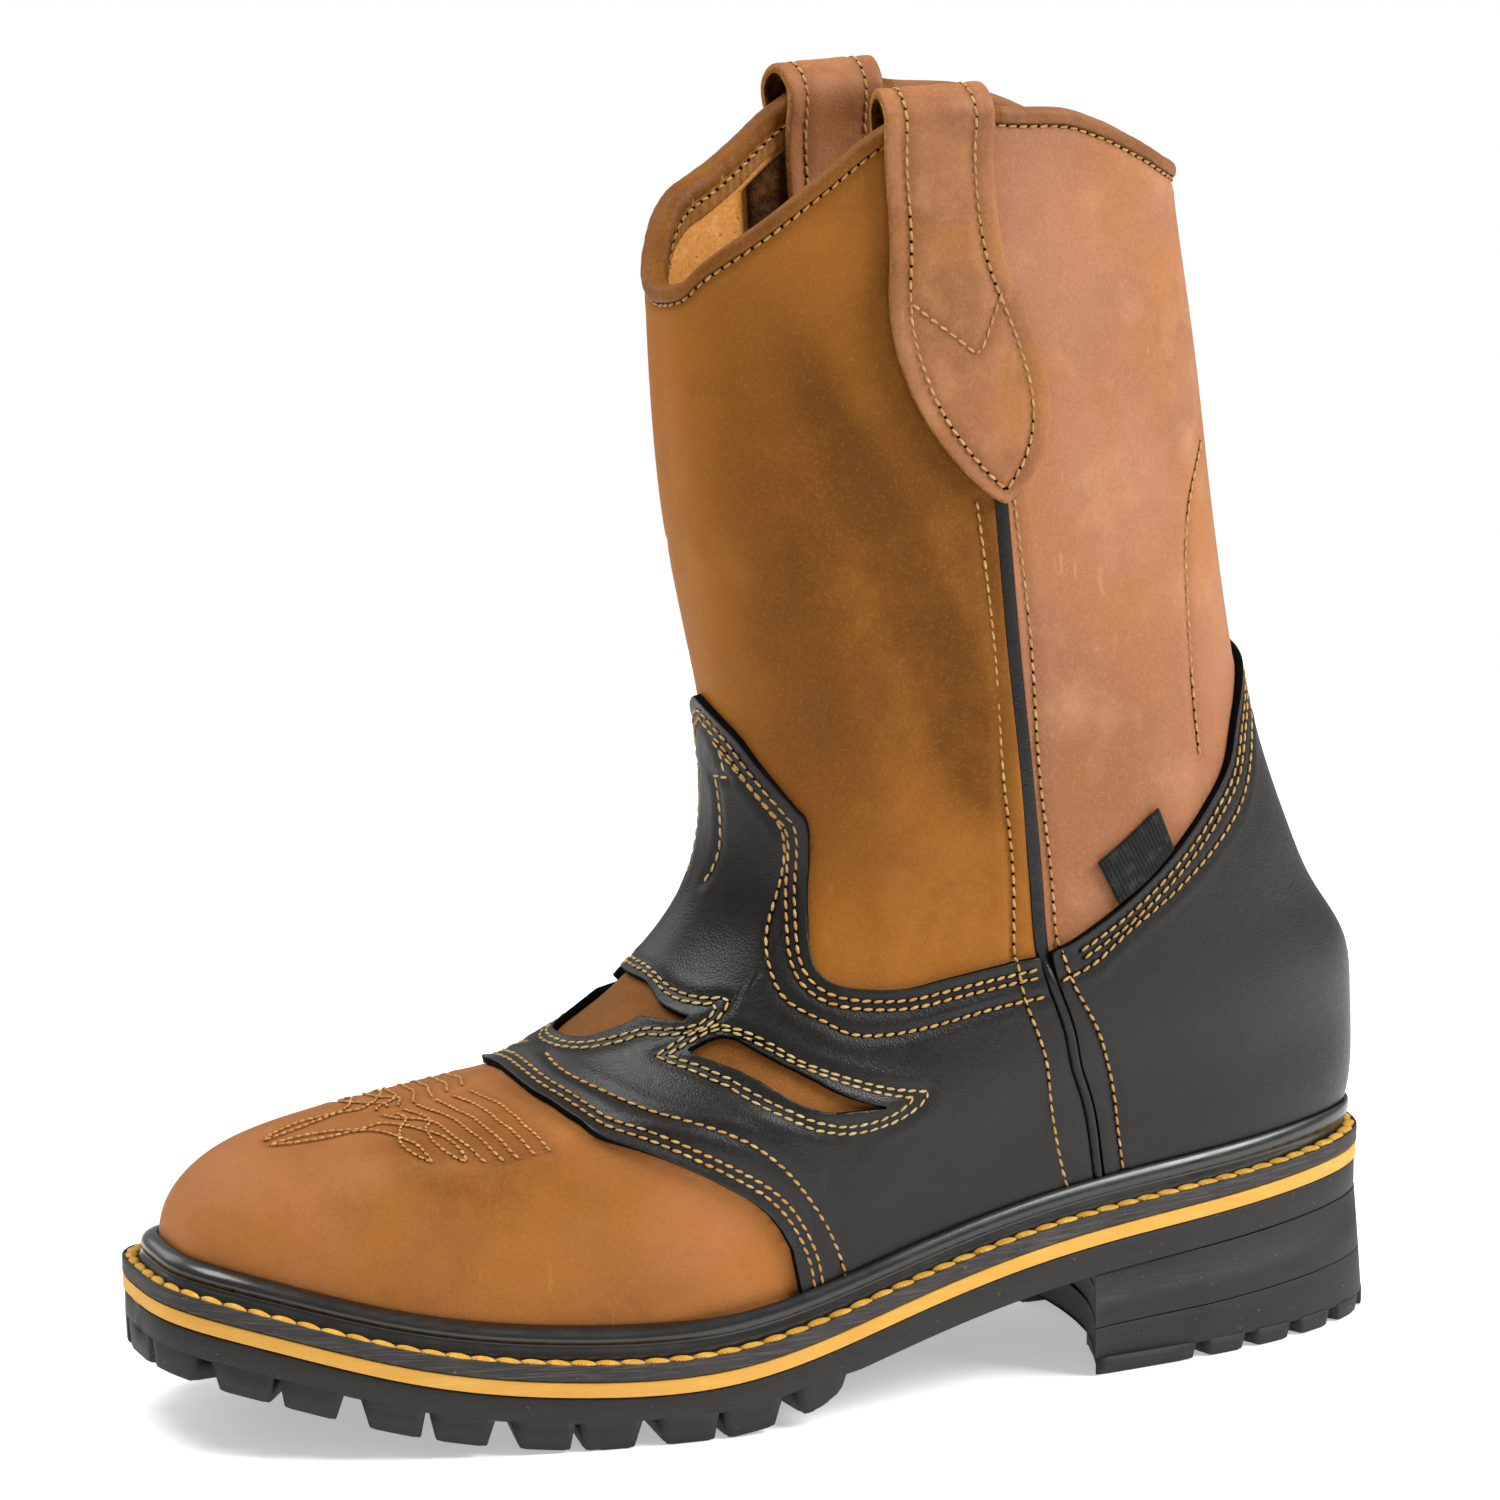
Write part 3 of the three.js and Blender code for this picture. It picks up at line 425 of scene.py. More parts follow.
def fuzzLook(name, look):
    # Cut leather edge or suede: loose fibres that catch the light, with no gloss.
    material, tree, surface = newMaterial(name, {
        "Roughness": 0.95, "IOR": 1.45, "Specular IOR Level": 0.1, "Sheen Weight": look["sheen"],
        "Sheen Roughness": 0.6, "Sheen Tint": colour(look["pale"])})
    place = placeOf(tree)
    fibre = noiseAt(tree, place, look["fibre"], 4.0, 0.7)
    clump = noiseAt(tree, place, look["clump"], 4.0, 0.6, seed=2.0)
    speck = noiseAt(tree, place, look["speckSize"], 2.0, 0.6, seed=4.0)
    base = layColours(tree, colour(look["dark"]), look, (fibre, 1.0, 0.35, 0.65, "main"),
                      (clump, 0.6, 0.5, 0.7, "pale"), (speck, look["speck"], 0.64, 0.74, "spot"))
    dress(tree, surface, base, normal=bumpOf(tree, sumOf(tree, fibre, clump), look["bump"], 0.0005))
    return material


rawEdge = fuzzLook("raw_leather_edge", {
    "main": "b57a3a", "dark": "7c4c20", "pale": "dca562", "spot": "4a2c15", "fibre": 0.5, "clump": 1.6,
    "speckSize": 0.9, "speck": 0.6, "sheen": 0.3, "bump": 0.9})
blackEdge = fuzzLook("raw_black_edge", {
    "main": "0b0a0a", "dark": "060606", "pale": "181615", "spot": "030303", "fibre": 0.5, "clump": 1.6,
    "speckSize": 0.9, "speck": 0.5, "sheen": 0.08, "bump": 0.9})
suedeLining = fuzzLook("suede_lining", {
    "main": "efa95c", "dark": "d99248", "pale": "f8c482", "spot": "8a5222", "fibre": 1.1, "clump": 5.0,
    "speckSize": 1.1, "speck": 0.85, "sheen": 0.25, "bump": 0.6})
# dark flesh side of the strap, also worn by the sheet of painted shadow inside behind the strap
fleshSideAndPaintedShadow = fuzzLook("strap_flesh_side_and_painted_shadow", {
    "main": "4d3018", "dark": "24150a", "pale": "7d5028", "spot": "140b05", "fibre": 1.2, "clump": 4.0,
    "speckSize": 2.0, "speck": 0.8, "sheen": 0.1, "bump": 1.0})


def rubberLook(name, look):
    # Moulded rubber: deep black with a dusty bloom and a few pale specks of grit.
    material, tree, surface = newMaterial(name, {
        "IOR": 1.52, "Specular IOR Level": look["specular"], "Coat Weight": look.get("coat", 0.0),
        "Coat Roughness": 0.18})
    place = placeOf(tree)
    bloom = noiseAt(tree, place, 12.0, 4.0, 0.6)
    grit = noiseAt(tree, place, look["grit"], 2.0, 0.6, seed=3.0)
    line = noiseAt(tree, place, 3.0, 4.0, 0.6, look.get("stretch", (0.25, 0.25, 4.0)), 5.0)
    base = layColours(tree, colour(look["dark"]), look, (bloom, 1.0, 0.35, 0.7, "main"),
                      (line, look["lines"], 0.5, 0.7, "pale"), (grit, look["speck"], 0.7, 0.76, "spot"))
    rough = sumOf(tree, rangeOf(tree, bloom, look["rough"] - 0.06, look["rough"] + 0.08, 0.3, 0.7),
                  rangeOf(tree, line, -0.05, 0.05, 0.3, 0.7))
    skin = bumpOf(tree, grit, look["bump"], 0.0002, bumpOf(tree, line, look["bump"], 0.0003))
    dress(tree, surface, base, rough=rough, normal=skin)
    return material


treadRubber = rubberLook("tread_rubber", {
    "main": "282624", "dark": "1d1b1a", "pale": "383532", "spot": "8f8a84", "grit": 0.9, "lines": 0.35,
    "speck": 0.5, "specular": 0.35, "rough": 0.62, "bump": 0.35})
randRubber = rubberLook("glossy_rand_rubber", {
    "main": "1c1b1a", "dark": "121211", "pale": "2c2a28", "spot": "6f6b66", "grit": 1.4, "lines": 0.2,
    "speck": 0.25, "specular": 0.5, "rough": 0.3, "bump": 0.08, "coat": 0.3})
weltRubber = rubberLook("worn_welt_rubber", {
    "main": "3d3a38", "dark": "2a2826", "pale": "66625e", "spot": "9a948e", "grit": 1.1, "lines": 0.6,
    "speck": 0.4, "specular": 0.3, "rough": 0.65, "bump": 0.6, "stretch": (0.3, 0.3, 9.0)})
yellowRubber = rubberLook("yellow_midsole_rubber", {
    "main": "dca548", "dark": "d39a3e", "pale": "e6b562", "spot": "b98034", "grit": 1.0, "lines": 0.4,
    "speck": 0.2, "specular": 0.3, "rough": 0.6, "bump": 0.15})


def threadLook(name, look):
    # Bonded polyester thread: two plies laid together, with a soft shine along them.
    material, tree, surface = newMaterial(name, {
        "Roughness": look["rough"], "IOR": 1.5, "Sheen Weight": 0.3, "Sheen Tint": colour(look["pale"])})
    ply = addNode(tree, "UVMap", {"uv_map": "ply"}).outputs["UV"]
    twist = addNode(tree, "TexWave", {"wave_type": "BANDS", "bands_direction": "DIAGONAL",
                                      "Scale": look["twist"], "Distortion": 1.0, "Detail": 2.0},
                                      {"Vector": ply}).outputs["Fac"]
    shade = noiseAt(tree, placeOf(tree), look["patch"], 2.0, 0.5)
    base = layColours(tree, colour(look["dark"]), look, (twist, 1.0, 0.2, 0.8, "main"),
                      (shade, 0.7, 0.45, 0.7, "pale"))
    dress(tree, surface, base, normal=bumpOf(tree, twist, 0.6, 0.0002))
    return material


threads = {"main": "e0a552", "dark": "a87430", "pale": "f4cf8c", "rough": 0.5, "twist": 1.6, "patch": 2.0}
goldThread = threadLook("golden_thread", threads)
paleThread = threadLook("pale_gold_thread", dict(threads, main="e6c178", dark="b08c48", pale="f8e2ac"))
toeThread = threadLook("tan_toe_thread", dict(threads, main="f2a850", dark="b0682a", pale="ffd88e",
                                              rough=0.55))
yellowCord = threadLook("yellow_welt_cord", {"main": "efb232", "dark": "c8871a", "pale": "f8ce5e",
                                             "rough": 0.6, "twist": 2.4, "patch": 2.5})


def holeLook():
    # Needle hole: bare shadow with a little fibre in it.
    material, tree, surface = newMaterial("needle_hole_shadow", {"Roughness": 1.0, "Specular IOR Level": 0.05})
    fibre = noiseAt(tree, placeOf(tree), 0.6, 2.0)
    dress(tree, surface, blendColours(tree, rangeOf(tree, fibre, 0.0, 1.0, 0.4, 0.7), colour("0d0805"),
                                                 colour("1f130a")))
    return material


needleHoleShadow = holeLook()
print("materials made")


def finishPiece(name, mesh, materials, nodes=()):
    # a bmesh in mm becomes an object in metres that rides on the boot
    bmesh.ops.scale(mesh, vec=(mm, mm, mm), verts=mesh.verts)
    data = bpy.data.meshes.new(name)
    mesh.to_mesh(data)
    mesh.free()
    for material in materials:
        data.materials.append(material)
    piece = bpy.data.objects.new(name, data)
    bpy.context.scene.collection.objects.link(piece)
    data.shade_smooth()
    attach(piece, "root")
    if nodes:
        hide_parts(*nodes)
    return piece


def gridOf(columns, rows):
    # a flat grid and the share of each vertex across and up it
    mesh = bmesh.new()
    bmesh.ops.create_grid(mesh, x_segments=columns, y_segments=rows, size=0.5)
    mesh.verts.index_update()
    uv = np.array([v.co[:2] for v in mesh.verts]) + 0.5
    return mesh, uv[:, 0], uv[:, 1]


def numberVerts(mesh):
    # each vertex keeps its row in the arrays, which a copy of it shares
    tag = mesh.verts.layers.int.new("row")
    for v in mesh.verts:
        v[tag] = v.index
    return tag


def moveTo(mesh, places):
    for v, p in zip(mesh.verts, places):
        v.co = p


def paintUv(mesh, u, v):
    layer = mesh.loops.layers.uv.new("lay")
    mesh.verts.index_update()
    for face in mesh.faces:
        for loop in face.loops:
            loop[layer].uv = (u[loop.vert.index], v[loop.vert.index])


def closedTube(columns, corners, place):
    # a grid bent round and closed both ways; place(u, k), k counts the corners of the section
    mesh, u, v = gridOf(columns, corners)
    paintUv(mesh, u, v)
    moveTo(mesh, place(u, v * corners))
    bmesh.ops.remove_doubles(mesh, verts=mesh.verts, dist=1e-4)
    bmesh.ops.recalc_face_normals(mesh, faces=mesh.faces)
    return mesh


def sectionAt(section):
    # a closed section from its corners, by a running count k
    section = np.array(section, float)
    section = np.vstack([section, section[:1]])
    counts = np.arange(len(section))
    return lambda k: (np.interp(k, counts, section[:, 0]), np.interp(k, counts, section[:, 1]))


def thicken(mesh, normals, thick, materials, round, tag, innerIndex=0):
    # the grid becomes the outer face; a copy goes in along the normals, and the outer rim is rounded
    first = set(mesh.faces)
    grown = bmesh.ops.extrude_face_region(mesh, geom=mesh.faces[:] + mesh.edges[:] + mesh.verts[:],
                                          use_keep_orig=True)["geom"]
    inner = {g for g in grown if isinstance(g, bmesh.types.BMFace)}
    depth = np.broadcast_to(thick, len(normals))
    for v in grown:
        if isinstance(v, bmesh.types.BMVert):
            v.co = v.co - Vector(normals[v[tag]] * depth[v[tag]])
    for face in inner:
        face.material_index = innerIndex
    sides = [f for f in mesh.faces if f not in first and f not in inner]
    for face in sides:
        face.material_index = materials - 1
    rim = {e for f in sides for e in f.edges if any(g in first for g in e.link_faces)}
    bmesh.ops.recalc_face_normals(mesh, faces=mesh.faces)
    bmesh.ops.bevel(mesh, geom=list(rim), offset=round, segments=2, profile=0.5, affect="EDGES", material=-1)
    return mesh


def patternGrid(columns, rows, fromTurn, toTurn, lowS, highS):
    # columns spaced evenly along the piece's two long edges
    t = np.linspace(0, 1, 600)
    turn = float(fromTurn(100.0)) + t * float(toTurn(100.0) - fromTurn(100.0))
    pace = sum(np.hypot(np.gradient(turn) * 52, np.gradient(edge(turn)) * 0.8) for edge in (lowS, highS))
    run = np.concatenate([[0], np.cumsum(pace[1:])])
    mesh, u, v = gridOf(columns, rows)
    share = np.interp(u, run / run[-1], t)
    allS, allTurn = np.linspace(-8, 350, 700), np.linspace(-1.0, 2.2, 1400) * math.pi
    starts, ends = fromTurn(allS), toTurn(allS)
    lows, highs = lowS(allTurn), highS(allTurn)
    s = np.full(len(u), 100.0)
    for _ in range(40):
        start = np.interp(s, allS, starts)
        turn = start + share * (np.interp(s, allS, ends) - start)
        low = np.interp(turn, allTurn, lows)
        s = (s + low + v * (np.interp(turn, allTurn, highs) - low)) / 2
    return mesh, s, turn


def cutWindow(mesh, s, turn, loop):
    # of each grid edge that crosses the outline, the nearer end goes onto it; what lies inside is then cut
    # away
    path = np.array(loop, float) * [deg * 46, 1]
    spots = np.stack([turn * 46, s], -1)
    best, nearest, inside = np.full(len(s), 1e9), spots.copy(), np.zeros(len(s), bool)
    for a, b in zip(path, np.roll(path, -1, 0)):
        d = b - a
        if np.dot(d, d) < 1e-9:
            continue
        t = np.clip(((spots - a) @ d) / (d @ d), 0, 1)
        q = a + t[:, None] * d
        gap = np.linalg.norm(spots - q, axis=1)
        closer = gap < best
        best[closer], nearest[closer] = gap[closer], q[closer]
        crosses = (a[1] > spots[:, 1]) != (b[1] > spots[:, 1])
        at = a[0] + (spots[:, 1] - a[1]) / (d[1] if abs(d[1]) > 1e-9 else 1e-9) * d[0]
        inside ^= crosses & (spots[:, 0] < at)
    snap = np.zeros(len(s), bool)
    for edge in mesh.edges:
        a, b = (v.index for v in edge.verts)
        if inside[a] != inside[b]:
            snap[a if best[a] < best[b] else b] = True
    turn, s = np.where(snap, nearest[:, 0] / 46, turn), np.where(snap, nearest[:, 1], s)
    gone, split = [], []
    for face in mesh.faces:
        ids = [v.index for v in face.verts]
        deep = [i for i in ids if inside[i] and not snap[i]]
        clear = [i for i in ids if not inside[i] and not snap[i]]
        if deep and clear:
            split.append((face, [v for v in face.verts if snap[v.index]]))
        elif not clear:
            gone.append(face)
    for face, pair in split:
        if len(pair) == 2:
            bmesh.utils.face_split(face, *pair)
    for face, pair in split:
        for f in {f for v in pair for f in v.link_faces}:
            ids = [v.index for v in f.verts]
            if not any(not inside[i] and not snap[i] for i in ids):
                gone.append(f)
    return gone, s, turn




# The upper's layers in mm: how thick, and how far the overlays and the inside lie off the form.
upper = {"leather": 2.0, "overlay": 1.9, "proud": 2.1, "lining": 0.9, "rim": 0.35}


def layerOut(s, turn):
    # height of the upper's visible face over the form
    a = np.abs(np.arctan2(np.sin(turn), np.cos(turn)))
    front = a < seamTurn(s)
    covered = np.where(front, (s < overlayTop(turn)) & (s > overlayFront(turn)), s < counterTop(turn))
    return np.where(covered, upper["proud"], 0.0)


def smoothPath(points, count=400, corners=False):
    # dense (s, turn) through a few (s, degrees) points
    pts = np.array(points, float)
    run = np.concatenate([[0], np.cumsum(np.hypot(np.diff(pts[:, 0]), np.diff(pts[:, 1]) * 0.8))])
    q = np.linspace(0, run[-1], count)
    if corners:
        return np.interp(q, run, pts[:, 0]), np.interp(q, run, pts[:, 1]) * deg
    sLine = easyCurve(np.stack([run, pts[:, 0]], -1))
    turnLine = easyCurve(np.stack([run, pts[:, 1]], -1))
    return sLine(q), turnLine(q) * deg


def shiftPath(s, turn, distance):
    # the path moved sideways over the form, to its left for a positive distance
    p = onForm(s, turn)
    run = unit(np.gradient(p, axis=0))
    side = np.cross(formNormal(s, turn), run) * distance
    bySlope = (onForm(s + 0.5, turn) - onForm(s - 0.5, turn))
    byTurning = (onForm(s, turn + 0.01) - onForm(s, turn - 0.01)) / 0.02
    a, b, c = (bySlope**2).sum(-1), (bySlope * byTurning).sum(-1), (byTurning**2).sum(-1)
    d, e = (side * bySlope).sum(-1), (side * byTurning).sum(-1)
    det = a * c - b * b
    return s + (d * c - e * b) / det, turn + (a * e - b * d) / det


def tidyPath(s, turn, passes):
    for _ in range(passes):
        s = np.concatenate([s[:1], (s[:-2] + 2 * s[1:-1] + s[2:]) / 4, s[-1:]])
        turn = np.concatenate([turn[:1], (turn[:-2] + 2 * turn[1:-1] + turn[2:]) / 4, turn[-1:]])
    return s, turn


seams = {"golden": [], "pale": [], "toe": []}
pitches = {"golden": 2.7, "toe": 1.9}


def holesAlong(places, normals, pitch):
    # needle holes a pitch apart along a dense path
    run = np.concatenate([[0], np.cumsum(np.linalg.norm(np.diff(places, axis=0), axis=1))])
    count = max(1, round(run[-1] / pitch))
    q = np.linspace(0, run[-1], count + 1)
    spots = np.stack([np.interp(q, run, places[:, i]) for i in range(3)], -1)
    outs = unit(np.stack([np.interp(q, run, normals[:, i]) for i in range(3)], -1))
    return spots, outs


def sewRow(s, turn, out=None, kind="golden"):
    out = layerOut(s, turn) if out is None else np.full(len(s), float(out))
    pitch = pitches.get(kind, pitches["golden"])
    seams[kind].append(holesAlong(offForm(s, turn, out), formNormal(s, turn), pitch))


def bothSides(points, **options):
    for side in (1, -1):
        s, turn = smoothPath(points)
        sewRow(s, turn * side, **options)


# Rows along both sides of each side seam, from the strap's foot to the rand.
sideRows = {"front": [(250, 84.6), (217, 83.4), (186.1, 80.6), (144.4, 83.9), (110, 91.6), (77.1, 100.1),
                      (45, 106.6), (8.3, 113.9)],
            "back": [(250, 92.6), (216.5, 91.3), (185.6, 88.2), (141.9, 92), (108, 100.4), (75.1, 108.5),
                     (42, 115), (6.4, 121.1)]}
for row in sideRows.values():
    bothSides(row)

# Double rows inside the overlays' edges, and a third row further in.
edgeInsets = (2.8, 4.8)


def edgePath(edge, start, end, count=500):
    turn = np.linspace(start, end, count) * deg
    p = onForm(edge(turn), turn)
    run = np.concatenate([[0], np.cumsum(np.linalg.norm(np.diff(p, axis=0), axis=1))])
    even = np.interp(np.linspace(0, run[-1], count), run, turn)
    return edge(even), even


for inset in edgeInsets:
    for edge, start, end, way in ((overlayTop, -93.5, 93.5, -1), (overlayFront, -86.2, 86.2, 1)):
        s, turn = edgePath(edge, start, end)
        s, turn = shiftPath(s, turn, way * inset)
        keep = (np.abs(turn) < seamTurn(s) - 0.03) & (s > 3)
        s, turn = tidyPath(s[keep], turn[keep], 12)
        sewRow(s, turn, out=upper["proud"])
    s, turn = edgePath(counterTop, 95, 265)
    s, turn = shiftPath(s, turn, -inset)
    turned = np.minimum(turn, 2 * math.pi - turn)
    keep = turned > seamTurn(s) + 0.03
    s, turn = tidyPath(s[keep], turn[keep], 6)
    sewRow(s, turn, out=upper["proud"])
thirdRows = {
    "top": [(194.5, 6), (187, 17.5), (181.5, 24.5), (177, 29.3), (171, 31), (159.1, 31.6), (151.2, 33.1),
            (145.8, 35.7), (137, 41.7), (129.6, 47.7), (119.8, 58.6), (113, 66), (111.9, 72), (114, 79),
            (116.9, 86), (117.8, 92.7)],
    "toe": [(106.5, 6.6), (93.8, 32.4), (74.1, 52.4), (51.1, 70.1), (27.5, 82.7), (11.3, 88.7), (1.5, 90.6)],
    "heel": [(124, 94.5), (126.5, 97.5), (137.5, 103.5), (148, 111), (158, 120), (167, 129.5), (176, 140),
             (187, 151), (196, 163), (200, 176)],
}
for points in thirdRows.values():
    bothSides(points, out=upper["proud"])
# Double rows round the windows run out to points; the small rows stand over the instep.
windowRows = {
    "leafOuter": [(110, 32.9), (117.8, 34.1), (122.3, 38.6), (118.3, 46.2), (111.9, 53.1), (103.1, 60.3),
                  (95.7, 66.5), (87.9, 72.5), (76.6, 80.6), (69.7, 87), (62, 88), (55, 88.4), (49.5, 87.5),
                  (46.6, 85.1), (47.1, 82.2), (52.5, 77.5), (64.8, 70.5), (80, 62), (93.3, 53.4),
                  (103.1, 43.6), (110, 32.9)],
    "leafInner": [(110.5, 34.9), (115.4, 36), (119.9, 38.1), (120.6, 40.3), (115.9, 47.2), (109, 54.3),
                  (100.2, 61.5), (92.3, 67.7), (82, 74.8), (71.2, 82), (65.8, 86.1), (56.5, 86.4),
                  (52.5, 85.6), (50.6, 83.5), (51.3, 81), (57.9, 76), (72.2, 68.2), (85.9, 60.1),
                  (97.7, 51.7), (105.1, 43.8), (110.5, 34.9)],
    "centreOuter": [(137.3, 0), (137.5, 4.7), (136, 11.4), (133.1, 19), (131.9, 23), (130.6, 29.5),
                    (131.1, 36), (125.7, 37.2), (121.8, 36.9), (118.6, 33.5), (117.8, 28.1), (118, 24),
                    (115.4, 22.8), (113, 19.5), (110.6, 15), (109.5, 9), (109.2, 0)],
    "centreInner": [(135.9, 0), (136, 5.7), (134.4, 13.1), (131.3, 19.5), (129.6, 25.2), (128.8, 30),
                    (129.1, 34.6), (124.7, 35.4), (121.3, 34), (119.8, 29.5), (120.2, 25.7), (119.6, 23.1),
                    (117.2, 20.6), (114.5, 17), (112.3, 13), (111.2, 8), (111, 0)],
    "needle": [(186, 6), (180.7, 7.4), (171.4, 9.2), (167.9, 9.4), (164, 8.4), (160.6, 6.5)],
    "bar": [(186.1, 4.5), (186.6, 11.9)],
    "hook": [(193, 8.8), (187.6, 10.2)],
}
for points in windowRows.values():
    for side in (1, -1):
        line = denseLine([(d * side, s) for s, d in points], step=0.25)
        s, turn = tidyPath(line[:, 1], line[:, 0] * deg, 6)
        sewRow(s, turn, out=upper["proud"], kind="pale")

# Top line row under the binding, and the back stay's row.
turn = np.linspace(0, 2 * math.pi, 900)
topRows = {"outside": (3.3, 0.0), "inside": (4.4, -4.9)}
for drop, out in topRows.values():
    sewRow(topLine(turn) - drop, turn, out=out)
bothSides([(254.8, 156.2), (249, 147.5), (241.6, 141.1), (232, 137), (223.4, 135.2), (205.7, 132.1),
           (188, 129.5)],
          out=0.0)

# Toe stitching: a long spear, two loops and a fan of curved rows, mirrored over the middle.
toeRows = [
    [(41.2, 0.9), (45.2, 1.2), (48.6, 1.8), (52.5, 3.2), (56, 5.2), (58.6, 7.4), (61.9, 7.3), (64.3, 7),
     (65.6, 10.2), (66.3, 13.1), (65.8, 16.4), (64.8, 19.8), (63.8, 22.4), (62.4, 25.2), (58.9, 29.5),
     (55.5, 32.9), (52, 35.7), (48.1, 38.6), (45.7, 40)],
    [(41.2, 0.9), (44.2, 3.1), (48.6, 5.7), (53.5, 7.4), (57.9, 8.1), (60, 10.4), (60.4, 12.4), (59.9, 16.4),
     (58.9, 19), (57.4, 22.1), (55, 26.2), (51.6, 29.8), (47.6, 33.3), (44.7, 35.7)],
    [(70.2, 3), (70.2, 7.1), (68.2, 10.2), (65.3, 12.8), (61.4, 16.9), (58.4, 19.8), (55.5, 22.6),
     (51.6, 26.9), (49.1, 30), (47.1, 32.4), (44.7, 35.7)],
    [(67.5, 2), (69.2, 7.2), (70.7, 9.3), (71.2, 11.6), (71.2, 14.5), (69.7, 18.3), (65.8, 23.6),
     (62.8, 27.1), (58.4, 31.7), (54.5, 35.5), (50.6, 38.6), (46.6, 41.7), (45.2, 42.9)],
    [(72.6, 1.5), (73.4, 6.5), (72.7, 11.6), (71.7, 13.8), (68.7, 16.4), (65.8, 18.8), (61.9, 23.3),
     (57.4, 27.6), (54.5, 30.7), (51.1, 33.8), (49.1, 36), (47.1, 37.9), (45.7, 40)],
    [(76.2, 0.8), (76.6, 7.6), (76.4, 10.8), (75.1, 15.5), (72.7, 20.2), (67.8, 26.2), (63.8, 30.5),
     (60.4, 33.8), (55, 38.1), (51.1, 41), (45.7, 45)],
    [(80.6, 1), (80.5, 7.4), (79.5, 11.9), (78.1, 16.7), (75.6, 21.4), (71.7, 26.2), (66.8, 31.2), (61.4, 36),
     (57, 39.3), (52.5, 42.4), (47.1, 46.2)],
    [(84.4, 2), (84.2, 11), (82.5, 15.9), (80, 20.7), (75.6, 26.2), (70.7, 31.7), (63.8, 37.4), (58.9, 41),
     (53, 44.8), (49.1, 47.4)],
    [(88.3, 3), (87.4, 12.4), (85.9, 17.1), (82.5, 22.6), (79.1, 27.1), (74.6, 31.4), (66.8, 38.1),
     (59.9, 42.9), (51.1, 48.4)],
]
for points in toeRows:
    bothSides(points, out=0.0, kind="toe")

# Pull straps: the way along one, and its rows.
strapShape = {
    "thick": 2.0, "length": 133, "rowInset": 4.6,
    "line": [[0, 249], [30, 278], [60, 308], [82, 329], [92, 337], [97.5, 340.2], [103, 337], [113, 328],
             [133, 308]],
    "out": [[0, 2.3], [30, 2.3], [60, 2.4], [82, 3.2], [92, 3.4], [97.5, -1.8], [103, -7], [113, -6.9],
            [133, -6.8]],
    "half": [[0, 0.6], [1.6, 3.0], [4, 5.6], [8, 9.0], [14, 12.6], [20, 15.0], [27, 16.3], [34, 16.5],
             [41, 15.9], [48, 14.6], [56, 13.1], [66, 12.5], [133, 12.5]],
}
strapLine, strapOut = easyCurve(strapShape["line"]), easyCurve(strapShape["out"])
strapHalf = tightCurve(strapShape["half"])


def strapSpot(d, reach, side):
    s = strapLine(d)
    turn = along(s, seamTurn(s), -8 * ease((d - 4) / 50))
    return offForm(s, side * along(s, turn, reach), strapOut(d))


def strapPlace(d, reach, side):
    # the middle of the leather and its outward direction
    way = unit(strapSpot(np.minimum(d + 0.6, strapShape["length"] + 0.6), reach, side)
               - strapSpot(np.maximum(d - 0.6, -0.6), reach, side))
    across = unit(strapSpot(d, reach + 0.6, side) - strapSpot(d, reach - 0.6, side)) * side
    return strapSpot(d, reach, side), unit(np.cross(across, way))


for side in (1, -1):
    d = np.linspace(1.5, 129, 900)
    for inset in (1, -1):
        reach = inset * np.maximum(strapHalf(d) - strapShape["rowInset"], 0.0)
        keep = strapHalf(d) > 4.9
        p, out = strapPlace(d[keep], reach[keep], side)
        seams["golden"].append(holesAlong(p + out, out, pitches["golden"]))
    vee = smoothPath([(46, -10.4), (36.5, -1.0), (33.2, 1.5), (37.5, 5.0), (46.5, 11.2)], corners=True)
    p, out = strapPlace(vee[0], vee[1] / deg, side)
    seams["golden"].append(holesAlong(p + out, out, pitches["golden"]))

holes = np.vstack([row[0] for rows in seams.values() for row in rows])
between = np.vstack([(row[0][1:] + row[0][:-1]) / 2 for rows in seams.values() for row in rows])
seamTree = KDTree(len(holes) + len(between))
for i, spot in enumerate(np.vstack([holes, between])):
    seamTree.insert(spot, i)
seamTree.balance()
print("seams laid out:", len(holes), "needle holes")


def seamRelief(places, depth=0.42):
    gap = np.array([min(seamTree.find(p)[2], 8.0) for p in places])
    return gap, -depth * np.exp(-((gap / 1.3) ** 2)) + 0.12 * np.exp(-(((gap - 2.9) / 1.2) ** 2))


def ripple(places, size, seed):
    # gentle waves over the leather, about -1 to 1
    rng = np.random.default_rng(seed)
    total = np.zeros(len(places))
    for _ in range(9):
        way = unit(rng.normal(size=3))
        total += np.sin(places @ way / size * rng.uniform(3.5, 8) + rng.uniform(0, 6.3))
    return total / 4.5


